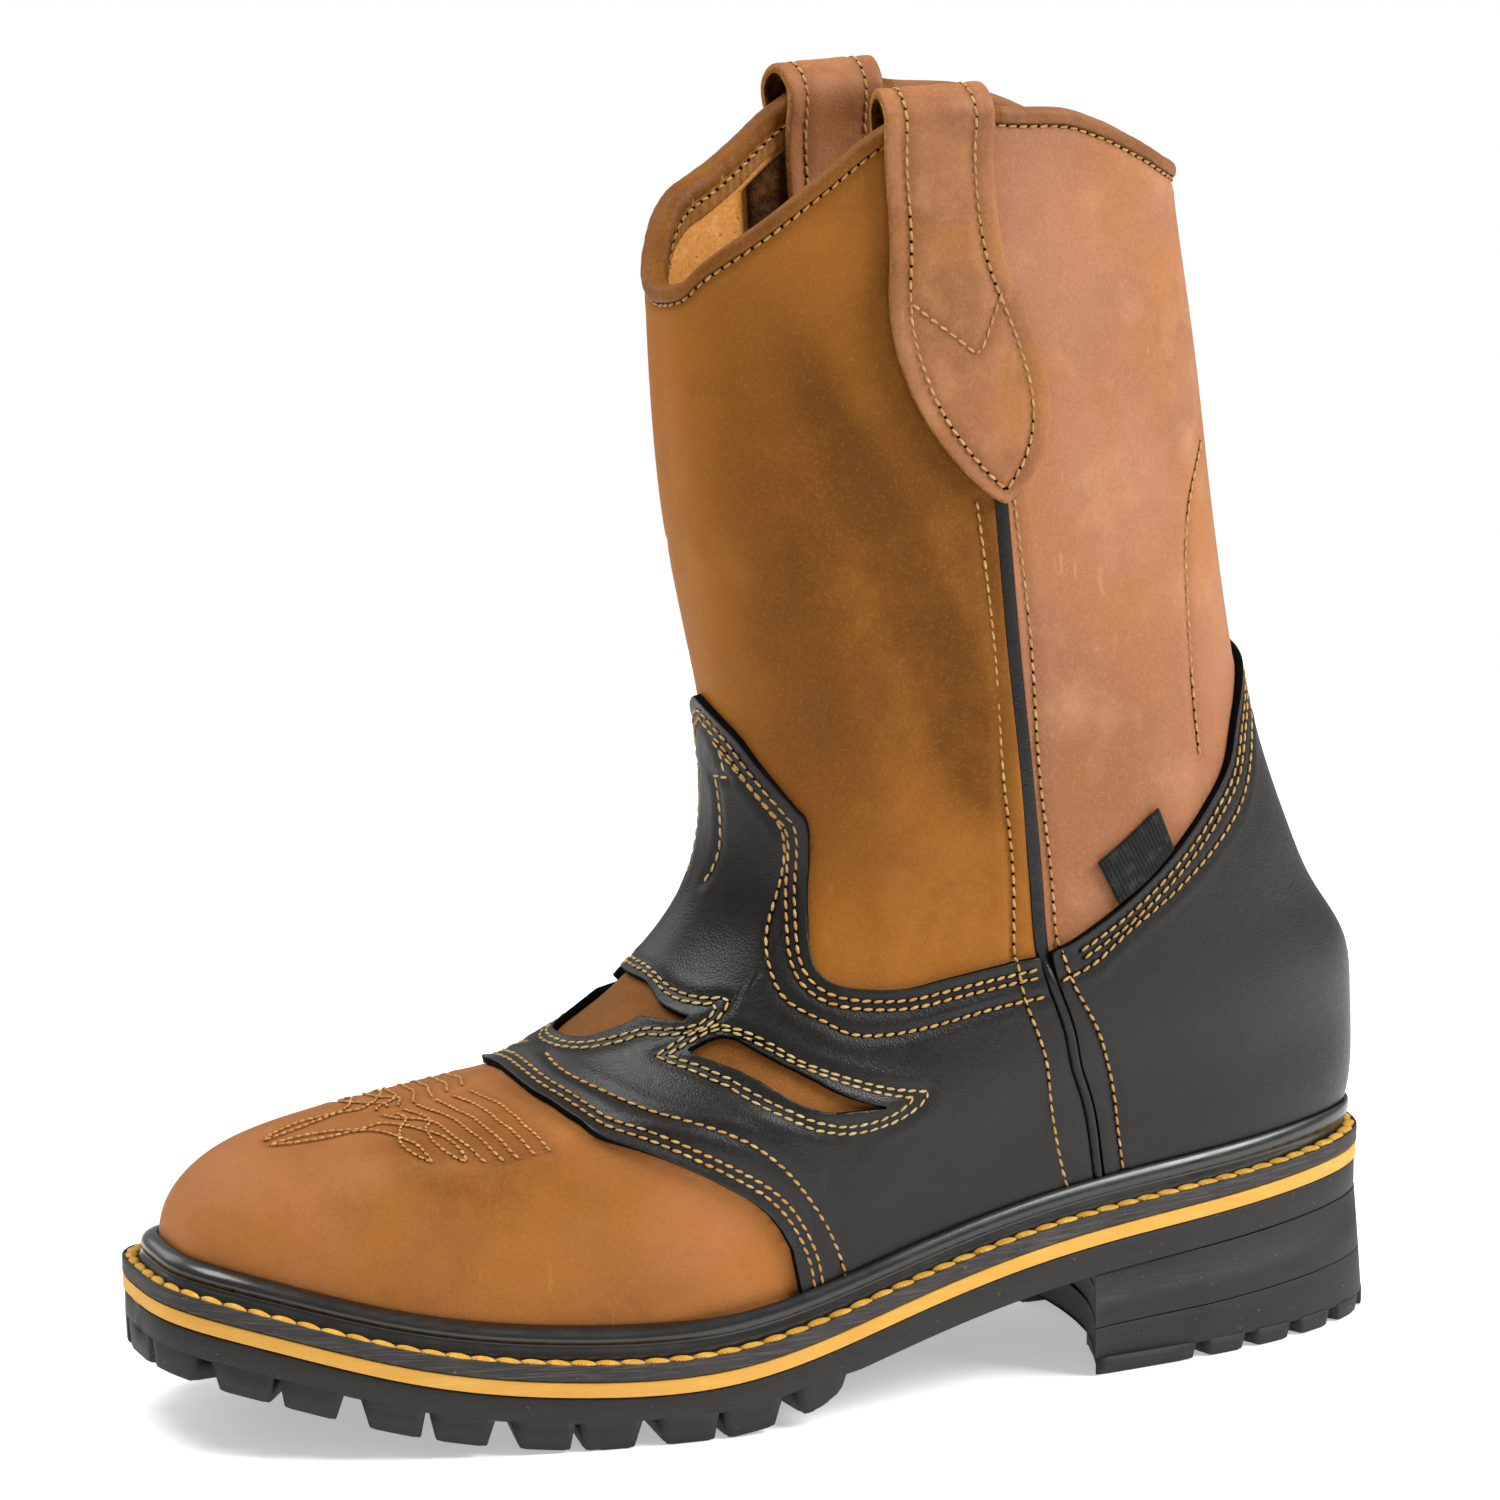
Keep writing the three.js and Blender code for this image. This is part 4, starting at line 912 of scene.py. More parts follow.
def leatherPiece(name, cells, lines, out, thick, materials, nodes, extra=None, cuts=(), toneAndPaintedShade=None):
    mesh, s, turn = patternGrid(*cells, *lines)
    gone = []
    for loop in cuts:
        faces, s, turn = cutWindow(mesh, s, turn, loop)
        gone += faces
    places, normals = offForm(s, turn, np.full(len(s), out)), formNormal(s, turn)
    gap, lift = seamRelief(places)
    lift = lift + 0.25 * ripple(places, 60, 4)
    if extra:
        lift = lift + extra(s, turn)
    near = mesh.verts.layers.float.new("seam")
    # per vertex: distance to the nearest seam, and the tone attribute, which says how much painted shade, and
    # on the back panel how much darkening towards the bottom, to lay on
    dark = mesh.verts.layers.float.new("toneAndPaintedShade")
    toneAndShadeValues = toneAndPaintedShade(s, turn) if toneAndPaintedShade else np.zeros(len(s))
    for v, g, t in zip(mesh.verts, gap, toneAndShadeValues):
        v[near] = g / 8
        v[dark] = t
    moveTo(mesh, places + normals * lift[:, None])
    tag = numberVerts(mesh)
    if gone:
        bmesh.ops.delete(mesh, geom=list(set(gone)), context="FACES")
        bmesh.ops.delete(mesh, geom=[v for v in mesh.verts if not v.link_faces], context="VERTS")
    thicken(mesh, normals, thick, len(materials), upper["rim"], tag)
    return finishPiece(name, mesh, materials, nodes)


def bulge(s, turn, at, across, along_, height):
    # a soft swell or hollow at (s, degrees), sized in mm
    d = np.abs(np.arctan2(np.sin(turn), np.cos(turn))) / deg
    sign = np.where(np.sin(turn) >= 0, 1, -1)
    gap = ((s - at[0]) / along_) ** 2 + ((d * sign - at[1]) * 0.85 / across) ** 2
    return height * np.exp(-gap)


# A soft fold leans from beside the outer strap to the side seam: s against degrees.
foldLine = easyCurve([[180, 76.5], [192, 75.8], [206, 74.6], [220, 72.2], [234, 68.4], [247, 65.3],
                      [258, 60.3], [280, 52]])


def frontShape(s, turn):
    ahead = (foldLine(s) * deg - turn) / deg * 0.8
    reach = ease((s - 165) / 25) * ease((300 - s) / 40)
    hollow = (-1.9 * np.exp(-((ahead - 5) / 8) ** 2) + 0.9 * np.exp(-((ahead + 5) / 4) ** 2)) * reach
    ankle = bulge(s, turn, (158, 56), 14, 10, -1.1) + bulge(s, turn, (176, 50), 16, 9, 0.8)
    ankle = ankle + bulge(s, turn, (196, 40), 18, 8, -0.6) + bulge(s, turn, (150, 22), 9, 12, -0.8)
    lines = bulge(s, turn, (239 + 0.1 * turn / deg, 8), 30, 1.3, -0.4)
    lines = lines + bulge(s, turn, (235.5 + 0.1 * turn / deg, 10), 16, 1.2, -0.3)
    creases = bulge(s, turn, (147, 66), 1.6, 9, -0.5) + bulge(s, turn, (149, 71), 1.6, 7, -0.4)
    return hollow + ankle + lines + creases


def frontPaintedShade(s, turn):
    # painted shade: darkest down the middle of the shaft's side, which faces away from the key light, and
    # along the shaded side of the fold; paler at the ridge, the top and above the overlay; the leather under
    # the overlay, seen in its windows, is shaded evenly
    d = np.abs(turn) / deg
    side = ease((d - 4) / 44) * ease((s - 150) / 60) * ease((325 - s) / 80)
    fold = 0.5 * np.exp(-(((foldLine(s) * deg - turn) / deg * 0.8 - 1) / 5) ** 2) * ease((s - 165) / 25)
    side = side * 0.85 + fold * ease((300 - s) / 40)
    under = (s < overlayTop(turn) - 1) & (s > overlayFront(turn) + 1)
    return np.where(under, 0.75, np.clip(side, 0, 1))


def backDarkerLow(s, turn):
    # darker towards the bottom of the back panel, fading out by s = 250
    return 0.75 * ease((250 - s) / 110)


def lowEdge(turn):
    return overWelt(turn, 0.6)


quick = 1.0


def cellsOf(across, up):
    return int(across / quick), int(up / quick)


leatherPiece("front_leather", cellsOf(175, 220), (frontFrom, frontTo, lowEdge, topLine), 0.0,
             upper["leather"], [oiledFront, rawEdge], ("toe_vamp", "shaft_front"),
             extra=frontShape, toneAndPaintedShade=frontPaintedShade)
leatherPiece("back_leather", cellsOf(150, 215), (backFrom, backTo, lowEdge, topLine), 0.0, upper["leather"],
             [oiledBack, rawEdge], ("heel_counter", "shaft_back"), toneAndPaintedShade=backDarkerLow)
loops = [windowLoop("centre"), windowLoop("leaf", 1), windowLoop("leaf", -1)]
leatherPiece("vamp_overlay", cellsOf(220, 100), (frontFrom, frontTo, overlayFront, overlayTop),
             upper["proud"], upper["overlay"], [oiledBlack, blackEdge], ("vamp_overlay",),
             extra=frontShape, cuts=loops)
leatherPiece("heel_overlay", cellsOf(160, 120), (backFrom, backTo, lowEdge, counterTop), upper["proud"],
             upper["overlay"], [oiledBlack, blackEdge], ("heel_overlay",))
print("leather panels made")


def ringPiece(name, columns, rows, lowS, highS, out, thick, materials, nodes, lift=None):
    # a band all the way round the shaft
    mesh, u, v = gridOf(columns, rows)
    turn = u * 2 * math.pi
    s = lowS(turn) + v * (highS(turn) - lowS(turn))
    outs = out(s, turn) if callable(out) else np.full(len(s), float(out))
    if lift:
        outs = outs + lift(s, turn, v)
    normals = formNormal(s, turn)
    moveTo(mesh, offForm(s, turn, outs))
    tag = numberVerts(mesh)
    bmesh.ops.remove_doubles(mesh, verts=mesh.verts, dist=1e-3)
    thicken(mesh, normals, thick, len(materials), 0.3, tag)
    return finishPiece(name, mesh, materials, nodes)


def liningOut(s, turn):
    x = onForm(s, turn)[..., 0]
    return -2.4 - 2.2 * (1 - ease((x + 72) / 13))


ringPiece("suede_lining", 220, 150, lambda t: overWelt(t, 1.0), lambda t: topLine(t) - 2, liningOut,
          upper["lining"], [suedeLining, suedeLining],
          ("shaft_lining", "vamp_lining", "heel_lining"))


def pleats(s, turn, v):
    # the facing is gathered under the binding
    phase = 130 * turn + 4 * np.sin(5 * turn) + 3 * np.sin(13 * turn + 1) + v * np.sin(turn * 31)
    return -0.45 * (0.5 + 0.5 * np.sin(phase)) ** 2 * (0.4 + 0.6 * v) - 0.1 * np.sin(turn * 29 + v * 4)


facing = {"low": 8.5, "high": 2.4, "out": -3.7, "thick": 0.8}
ringPiece("top_facing", 700, 10, lambda t: topLine(t) - facing["low"], lambda t: topLine(t) - facing["high"],
          facing["out"], facing["thick"], [oiledFacing, rawEdge], ("top_facing",),
          lift=pleats)

bindSection = sectionAt([[-2.6, .1], [-2.6, .4], [-2.3, .75], [-1.4, .95], [-.5, .95], [.3, .7], [.8, .2],
                         [1.1, -.6], [1.2, -1.6], [1.1, -2.7], [.7, -3.6], [0, -4.3], [-1.1, -4.8],
                         [-2.4, -5], [-3.3, -4.9], [-3.3, -4.3], [-1.5, -3.9], [-.3, -3.2], [-.3, .1],
                         [-1.5, .15]])


def bindPlace(u, k):
    turn = u * 2 * math.pi
    ds, out = bindSection(k)
    wrinkle = 0.12 * np.sin(turn * 95 + 2 * np.sin(turn * 11)) + 0.14 * np.sin(turn * 37 + ds)
    return offForm(topLine(turn) + ds, turn, out + wrinkle * 0.5)


binding = closedTube(520, 40, lambda u, k: bindPlace(u, k / 2))
for face in binding.faces:
    # the binding is cut from each panel's own leather
    spot = face.calc_center_median()
    face.material_index = 0 if spot.x < 43 else 1
finishPiece("top_binding", binding, [oiledBinding, oiledBindingBack], ("top_binding",))


def pipingPiece(side, word):
    start = float(overWelt(np.array([side * 117 * deg]), 5.5)[0])
    section = sectionAt([[-1, -1.4], [-1, 0], [-.82, .55], [-.4, .92], [.0, 1], [.4, .92], [.82, .55], [1, 0],
                         [1, -1.4]])
    mesh, u, v = gridOf(200, 18)
    s = start + u * (330 - start)
    share, rise = section(v * 9)
    proud = 0.55 + 2.1 * (1 - ease((s - 122) / 14))
    turn = side * along(s, seamTurn(s), share * 1.55)
    moveTo(mesh, offForm(s, turn, np.where(rise > 0, rise * proud, rise)))
    bmesh.ops.remove_doubles(mesh, verts=mesh.verts, dist=1e-3)
    bmesh.ops.holes_fill(mesh, edges=[e for e in mesh.edges if e.is_boundary])
    bmesh.ops.recalc_face_normals(mesh, faces=mesh.faces)
    finishPiece("side_piping_" + word, mesh, [pipingLeather], ("side_piping_" + word,))


pipingLeather = leatherLook("glazed_black_piping", dict(blackLook, main="161514", dark="0e0d0d",
                                                        pale="2b2928", rough=0.36, crease=0.3))
pipingPiece(1, "lateral")
pipingPiece(-1, "medial")


# A dark flesh-side sheet inside, behind the strap and up the back: painted shadow where the strap and the
# outer wall shade the inside. The back stay takes its depth and thickness from here too.
paintedShadowSheetAndStay = {"out": -3.6, "thick": 1.0, "front": -32.0, "back": 14.0, "foot": 258}


def strapPiece(side, word):
    mesh, u, v = gridOf(190, 18)
    d = u * strapShape["length"]
    reach = (2 * v - 1) * strapHalf(d)
    middle, out = strapPlace(d, reach, side)
    gap, lift = seamRelief(middle + out, 0.36)
    crown = -0.35 * np.clip(np.abs(2 * v - 1) - 0.75, 0, 1) * 2
    lift = lift + crown + 0.12 * ripple(middle, 40, 9)
    near = mesh.verts.layers.float.new("seam")
    for vert, g in zip(mesh.verts, gap):
        vert[near] = g / 8
    tag = numberVerts(mesh)
    moveTo(mesh, middle + out * (1.0 + lift)[:, None])
    thicken(mesh, out, strapShape["thick"] * np.ones(len(out)), 3, 0.4, tag, innerIndex=1)
    name = "pull_strap_" + word
    finishPiece(name, mesh, [oiledStrap, fleshSideAndPaintedShadow, rawEdge], (name,))
    # the dark sheet behind the strap: painted shadow
    mesh, s, turn = patternGrid(24, 30, lambda s: side * along(s, seamTurn(s), paintedShadowSheetAndStay["front"]),
                                lambda s: side * along(s, seamTurn(s), paintedShadowSheetAndStay["back"]),
                                level(paintedShadowSheetAndStay["foot"]), lambda t: topLine(t) - 10.5)
    normals = formNormal(s, turn)
    moveTo(mesh, offForm(s, turn, paintedShadowSheetAndStay["out"] - 0.15 * ripple(onForm(s, turn), 14, 3)))
    thicken(mesh, normals, paintedShadowSheetAndStay["thick"], 2, 0.3, numberVerts(mesh))
    finishPiece("painted_shadow_sheet_" + word, mesh, [fleshSideAndPaintedShadow, fleshSideAndPaintedShadow])


strapPiece(1, "lateral")
strapPiece(-1, "medial")

mesh, s, turn = patternGrid(60, 60, lambda s: math.pi - (46 - 20 * np.clip((s - 152) / 104, 0, 1)) * deg,
                            lambda s: math.pi + (46 - 20 * np.clip((s - 152) / 104, 0, 1)) * deg, level(152),
                            level(256))
tag = numberVerts(mesh)
moveTo(mesh, offForm(s, turn, np.full(len(s), paintedShadowSheetAndStay["out"])))
thicken(mesh, formNormal(s, turn), paintedShadowSheetAndStay["thick"], 2, 0.3, tag)
finishPiece("back_stay", mesh, [suedeLining, rawEdge], ("back_stay",))
print("straps, binding and linings made")


def wovenLook(name, look):
    # Woven polyester tape: fine ribs of thread over and under, with a dry sheen.
    material, tree, surface = newMaterial(name, {"Roughness": 0.85, "IOR": 1.5, "Specular IOR Level": 0.25,
                                                 "Sheen Weight": look["sheen"],
                                                 "Sheen Tint": colour(look["pale"])})
    lay = addNode(tree, "UVMap", {"uv_map": "lay"}).outputs["UV"]
    warp = addNode(tree, "TexWave", {"bands_direction": "X", "Scale": look["across"], "Distortion": 0.4},
                   {"Vector": lay}).outputs["Fac"]
    weft = addNode(tree, "TexWave", {"bands_direction": "Y", "Scale": look["up"], "Distortion": 0.4},
                   {"Vector": lay}).outputs["Fac"]
    both = sumOf(tree, warp, weft, "MULTIPLY")
    dust = noiseAt(tree, placeOf(tree), 2.5, 3.0, 0.6)
    base = blendColours(tree, both, colour(look["dark"]), colour(look["main"]))
    base = layColours(tree, base, look, (dust, 0.5, 0.5, 0.75, "pale"))
    dress(tree, surface, base, normal=bumpOf(tree, both, 0.7, 0.0003))
    return material


# 12 x 15 mm tab, about two ribs to the mm, drawn coarser so that they show
wovenTape = wovenLook("woven_tape_black", {"main": "2a2a2b", "dark": "0e0e0f", "pale": "4c4c4e", "across": 6,
                                           "up": 7, "sheen": 0.3})
meshFabric = wovenLook("footbed_mesh_fabric", {"main": "5a5a5c", "dark": "2c2c2e", "pale": "7d7d80",
                                               "across": 60, "up": 30, "sheen": 0.4})
# The tab's corners in (degrees, s); it stands off the heel overlay's edge.
label = {"corners": [[102.7, 150.7], [115.6, 165], [98, 164.5], [113.2, 177]], "out": 1.5, "thick": 0.7}
corners = np.array(label["corners"])
mesh, u, v = gridOf(16, 20)
paintUv(mesh, u, v)
spot = ((1 - v) * ((1 - u) * corners[0][:, None] + u * corners[1][:, None])
        + v * ((1 - u) * corners[2][:, None] + u * corners[3][:, None]))
tag = numberVerts(mesh)
edgeRoll = 0.25 * np.maximum(np.abs(2 * u - 1), np.abs(2 * v - 1)) ** 8
lift = label["out"] + 0.25 * np.sin(u * 5 + v * 2) - edgeRoll
moveTo(mesh, offForm(spot[1], spot[0] * deg, lift))
thicken(mesh, formNormal(spot[1], spot[0] * deg), label["thick"], 2, 0.2, tag)
finishPiece("label_tab", mesh, [wovenTape, wovenTape], ("label_tab",))

# Evenly spaced turns round the welt: the way round starts and ends at the back of the heel.
dense = np.concatenate([-math.pi * np.linspace(1, 0, 3000) ** 2.2,
                        math.pi * np.linspace(0, 1, 3000)[1:] ** 2.2])
strides = np.diff(outline(dense, np.full(len(dense), 7.5)), axis=0)
walked = np.concatenate([[0], np.cumsum(np.linalg.norm(strides, axis=1))])
toeAt = float(np.interp(0, dense, walked))


def turnAt(distance):
    # turn at a distance in mm from the toe along the sole's edge, + to the outer side
    return np.interp(np.asarray(distance) + toeAt, walked, dense)


def ringTurn(u):
    return np.interp(u * walked[-1], walked, dense)


sole = {
    "weltReach": 8.0, "weltThick": 3.7, "midsole": 3.4, "gap": 0.3, "waistThick": 7.0, "lugDepth": 6.0,
    "lugPitch": 16.5, "lugInward": 24.0, "breast": 70.0, "heelLift": 11.0, "heelNotch": 3.6,
    "heelPitch": 14.0,
}
weltShape = byTurn([[0, 1], [45, 1.12], [70, 1.08], [95, .96], [130, .94], [180, 1]])
randFoot = byTurn([[0, .4], [70, .4], [80, 2.7], [180, 2.7]])
randOuter = byTurn([[0, 4.6], [135, 4.6], [165, 4], [180, 4]])
heelFlare = byTurn([[0, 0], [110, 0], [150, 1], [180, 1]])


def weltEdge(turn):
    return sole["weltReach"] * weltShape(turn)


def soleEdge(turn):
    return weltEdge(turn) - 0.5


def midTop(x):
    return weltTop(x) - sole["weltThick"] - sole["gap"]


def soleTop(x):
    return midTop(x) - sole["midsole"] - sole["gap"]


def waistShare(x):
    return ease((x - form["shiftX"] + 8) / 12)


def treadUnder(x):
    front = np.maximum(0, weltTop(x) - form["stack"])
    return front + (soleTop(x) - sole["waistThick"] - front) * waistShare(x)


randSection = sectionAt([[-1.5, 0], [-1.5, 1.0], [0.3, 1.02], [1.2, 1.0], [2.0, .9], [2.5, .8], [2.9, .74],
                         [3.3, .74], [3.7, .8], [4.4, .84], [5.2, .8], [5.9, .66], [6.5, .45], [6.9, .2],
                         [7.0, 0]])


def randPlace(u, k):
    turn = ringTurn(u)
    height, share = randSection(k)
    s = overWelt(turn, height)
    return offForm(s, turn, randFoot(turn) + share * (randOuter(turn) - randFoot(turn)))


finishPiece("storm_rand", closedTube(560, 30, lambda u, k: randPlace(u, k / 2)), [randRubber],
            ("storm_rand",))

# The welt's top has a shallow channel for the stitches, its edge is trimmed square and a little worn.
weltTrim = [(0, -2.9), (-.55, -2.7), (-.6, -1.0), (.05, -.75), (.0, -.2), (-.25, 0), (-1.2, .03),
            (-2.4, -.03), (-3.45, 0), (-3.7, -.25)]


def weltPlace(u, k):
    turn = ringTurn(u)
    inner = np.full(len(u), -3.0)
    heights = np.array([0] + [height for height, _ in weltTrim] + [-sole["weltThick"], 0])
    reaches = np.array([inner] + [weltEdge(turn) + reach for _, reach in weltTrim] + [inner, inner])
    low = np.floor(k).astype(int)
    high = np.minimum(low + 1, len(heights) - 1)
    part = k - low
    rows = np.arange(len(u))
    reach = reaches[low, rows] * (1 - part) + reaches[high, rows] * part
    height = heights[low] * (1 - part) + heights[high] * part
    p = outline(turn, reach)
    worn = np.where(reach > weltEdge(turn) - 0.4, 0.07 * np.sin(turn * 160 + 3 * np.sin(turn * 17)), 0)
    return np.stack([p[:, 0], p[:, 1], weltTop(p[:, 0]) + height + worn], -1)


finishPiece("welt", closedTube(560, 24, lambda u, k: weltPlace(u, k / 2)), [weltRubber],
            ("welt",))


def bentBlock(columns, rows, place, layers=1):
    # a grid bent to place(u, v, 0), and copies of it taken up to place(u, v, 1)
    block, u, v = gridOf(columns, rows)
    tag = numberVerts(block)
    moveTo(block, place(u, v, 0.0))
    faces = block.faces[:]
    for layer in range(1, layers + 1):
        goal = place(u, v, layer / layers)
        grown = bmesh.ops.extrude_face_region(block, geom=faces, use_keep_orig=layer == 1)["geom"]
        faces = [g for g in grown if isinstance(g, bmesh.types.BMFace)]
        for vert in {w for f in faces for w in f.verts}:
            vert.co = goal[vert[tag]]
    return block


def acrossPlate(reach, bottom, top, count, across=16, start=0.2, end=179.8):
    # a plate inside the outline, from one turn to another on both sides
    length = walked[-1] - toeAt

    def place(u, v, w):
        turn = np.clip(turnAt(u * length), start * deg, end * deg)
        left, right = outline(turn, reach(turn)), outline(-turn, reach(-turn))
        p = left * (1 - v)[:, None] + right * v[:, None]
        z = bottom(p[:, 0]) * (1 - w) + top(p[:, 0]) * w
        return np.stack([p[:, 0], p[:, 1], z], -1)

    block = bentBlock(count, across, place)
    bmesh.ops.remove_doubles(block, verts=block.verts, dist=1e-3)
    bmesh.ops.recalc_face_normals(block, faces=block.faces)
    return block


def bevelSharp(mesh, width, angle=40):
    edges = [e for e in mesh.edges if len(e.link_faces) == 2 and e.calc_face_angle(0) > angle * deg]
    bmesh.ops.bevel(mesh, geom=edges, offset=width, segments=2, profile=0.5, affect="EDGES", material=-1)
    return mesh


layer = acrossPlate(lambda t: weltEdge(t) - 0.15, lambda x: midTop(x) - sole["midsole"], midTop, count=260)
finishPiece("midsole", bevelSharp(layer, 0.25), [yellowRubber], ("midsole",))

# Tread: a plate down to the foot of the notches, then a block for each lug.
outsole = bevelSharp(acrossPlate(soleEdge, lambda x: treadUnder(x) + sole["lugDepth"] * (1 - waistShare(x)),
                                 soleTop, count=220), 0.4)


def addTo(whole, part):
    bmesh.ops.recalc_face_normals(part, faces=part.faces)
    data = bpy.data.meshes.new("part")
    part.to_mesh(data)
    part.free()
    whole.from_mesh(data)
    bpy.data.meshes.remove(data)


def edgeLug(start, end, reach, inward, foot, root, footCut, rootCut, bevel=0.5, breast=False):
    # a tapered block along the edge, narrower at its foot; the cuts are for its two ends
    def place(u, v, w):
        cut = [f + (r - f) * w for f, r in zip(footCut, rootCut)]
        turn = turnAt(start + cut[0] + u * (end - start - cut[0] - cut[1]))
        p = outline(turn, reach(turn) - v * inward - 0.3 * (1 - w))
        if breast:
            p[:, 0] = np.maximum(p[:, 0], breastX(p[:, 1]) + 0.2 + 0.2 * u)
        z = foot(p[:, 0]) * (1 - w) + root(p[:, 0]) * w
        return np.stack([p[:, 0], p[:, 1], z], -1)
    return bevelSharp(bentBlock(8, 6, place), bevel, 35)


notches = {}
for side in (1, -1):
    last, stops = 86 if side > 0 else 84, [sole["lugPitch"] / 2]
    while abs(float(turnAt(side * (stops[-1] + sole["lugPitch"])))) < last * deg:
        stops.append(stops[-1] + sole["lugPitch"])
    notches[side] = stops


def lugRoot(x):
    return treadUnder(x) + sole["lugDepth"] * (1 - waistShare(x)) + 0.6


for side in (1, -1):
    stops = notches[side]
    for i, start in enumerate(stops):
        end = stops[i + 1] if i + 1 < len(stops) else start + sole["lugPitch"] * 0.9
        inward = sole["lugInward"] if i % 2 else sole["lugInward"] * 0.82
        ends = sorted((side * start, side * end))
        # wide and narrow notches follow each other
        near, far = (3.7, 1.7) if i % 2 else (1.7, 3.7), (1.7, 0.5) if i % 2 else (0.5, 1.7)
        if side < 0:
            near, far = near[::-1], far[::-1]
        addTo(outsole, edgeLug(*ends, soleEdge, inward, treadUnder, lugRoot, near, far))
addTo(outsole, edgeLug(-notches[-1][0], notches[1][0], soleEdge, sole["lugInward"] * 0.6, treadUnder, lugRoot,
                       (1.7, 1.7), (0.5, 0.5)))

# Middle blocks between the two rows of edge lugs.
sample = np.linspace(2, 100, 400) * deg
innerLine = {side: outline(side * sample, soleEdge(sample) - sole["lugInward"] - 3) for side in (1, -1)}


def innerY(side, x):
    line = innerLine[side]
    order = np.argsort(line[:, 0])
    return np.interp(x, line[order, 0], line[order, 1])


for i in range(6):
    start = -108 + i * sole["lugPitch"]

    def middleBlock(u, v, w):
        cut = 2.4 - 1.2 * w
        x = start + cut + u * (sole["lugPitch"] - 2 * cut)
        low, high = innerY(1, x), innerY(-1, x)
        room = np.maximum(high - low, 6)
        centre = (low + high) / 2
        y = centre + (v - 0.5) * (room - 2 * cut)
        x = x + 2.2 * np.sin(v * math.pi * 2)
        z = (treadUnder(x) + 0.2) * (1 - w) + lugRoot(x) * w
        return np.stack([x, y, z], -1)

    addTo(outsole, bevelSharp(bentBlock(4, 10, middleBlock), 0.5, 35))
finishPiece("outsole", outsole, [treadRubber], ("outsole",))


def breastX(y):
    # the heel's hollow front
    return sole["breast"] + form["shiftX"] - 84 + np.sqrt(np.maximum(90**2 - (y - form["shiftY"]) ** 2, 0))


def heelReach(turn, height):
    return soleEdge(turn) + heelFlare(turn) * 2.5 * np.clip(1 - height / 28, 0, 1)


def breastTurn(side, reach):
    turn = np.linspace(60, 150, 900) * deg * side
    p = outline(turn, reach(turn))
    return turn[int(np.argmin(np.abs(p[:, 0] - breastX(p[:, 1]))))]


def walkOf(turn):
    return float(np.interp(turn, dense, walked)) - toeAt


def heelBlock(bottom, top, layers=1, inset=0.0, count=70):
    def place(u, v, w):
        edges = []
        for side in (1, -1):
            reach = lambda t: heelReach(t, 12.0) - inset
            start = walkOf(breastTurn(side, reach))
            end = walkOf(side * 179.8 * deg)
            turn = turnAt(start + u * (end - start))
            z = bottom(np.full(len(u), 110.0)) * (1 - w) + top(np.full(len(u), 110.0)) * w
            edges.append(outline(turn, heelReach(turn, z) - inset))
        p = edges[0] * (1 - v)[:, None] + edges[1] * v[:, None]
        chord = edges[0][:, 0] * (1 - v) + edges[1][:, 0] * v
        x = p[:, 0] + (breastX(p[:, 1]) + inset - chord) * np.clip(1 - u / 0.3, 0, 1)
        z = bottom(x) * (1 - w) + top(x) * w
        return np.stack([x, p[:, 1], z], -1)

    block = bentBlock(count, 16, place, layers)
    bmesh.ops.remove_doubles(block, verts=block.verts, dist=1e-3)
    bmesh.ops.recalc_face_normals(block, faces=block.faces)
    return block


def liftTop(x):
    return sole["heelLift"] + 0.045 * (x - form["shiftX"] - sole["breast"])


block = heelBlock(lambda x: liftTop(x) + 0.2, lambda x: treadUnder(x) - 0.2, 2)
finishPiece("heel_base", bevelSharp(block, 0.25), [treadRubber], ("heel_base",))
lift = bevelSharp(heelBlock(lambda x: np.full(np.shape(x), sole["heelNotch"]), liftTop), 0.3)
middle = heelBlock(lambda x: np.full(np.shape(x), 0.0),
                   lambda x: np.full(np.shape(x), sole["heelNotch"] + 0.5), inset=21, count=30)
addTo(lift, bevelSharp(middle, 0.5))
for side in (1, -1):
    start = abs(walkOf(breastTurn(side, lambda t: heelReach(t, 2.0)))) + 0.4
    stops = [start]
    first, last = abs(walkOf(side * 127 * deg)), abs(walkOf(side * 172 * deg))
    at = first + sole["heelPitch"] / 2
    while at < last + 1:
        stops.append(at)
        at += sole["heelPitch"]
    for i in range(len(stops) - 1):
        ends = sorted((side * stops[i], side * stops[i + 1]))
        near, far = (0.0, 2.4) if i == 0 else (2.4, 2.4), (0.0, 1.6) if i == 0 else (1.6, 1.6)
        if side < 0:
            near, far = near[::-1], far[::-1]
        addTo(lift, edgeLug(*ends, lambda t: heelReach(t, 2.0), 22, lambda x: 0 * x,
                            lambda x: 0 * x + sole["heelNotch"] + 0.4, near, far, 0.4, True))
    notches[(side, "heel")] = stops
# the lug at the very back, from the last notch on one side to the last on the other
fullWay = float(walked[-1])
backStart, backEnd = notches[(1, "heel")][-1], fullWay - notches[(-1, "heel")][-1]


def backLug(u, v, w):
    cut = 2.4 - 0.8 * w
    walk = backStart + cut + u * (backEnd - backStart - 2 * cut)
    walk = np.where(walk > fullWay - toeAt, walk - fullWay, walk)
    turn = turnAt(walk)
    p = outline(turn, heelReach(turn, 2.0) - v * 20)
    return np.stack([p[:, 0], p[:, 1], np.full(len(u), w * (sole["heelNotch"] + 0.4))], -1)


addTo(lift, bevelSharp(bentBlock(14, 6, backLug), 0.4, 35))
finishPiece("heel_lift", lift, [treadRubber], ("heel_lift",))

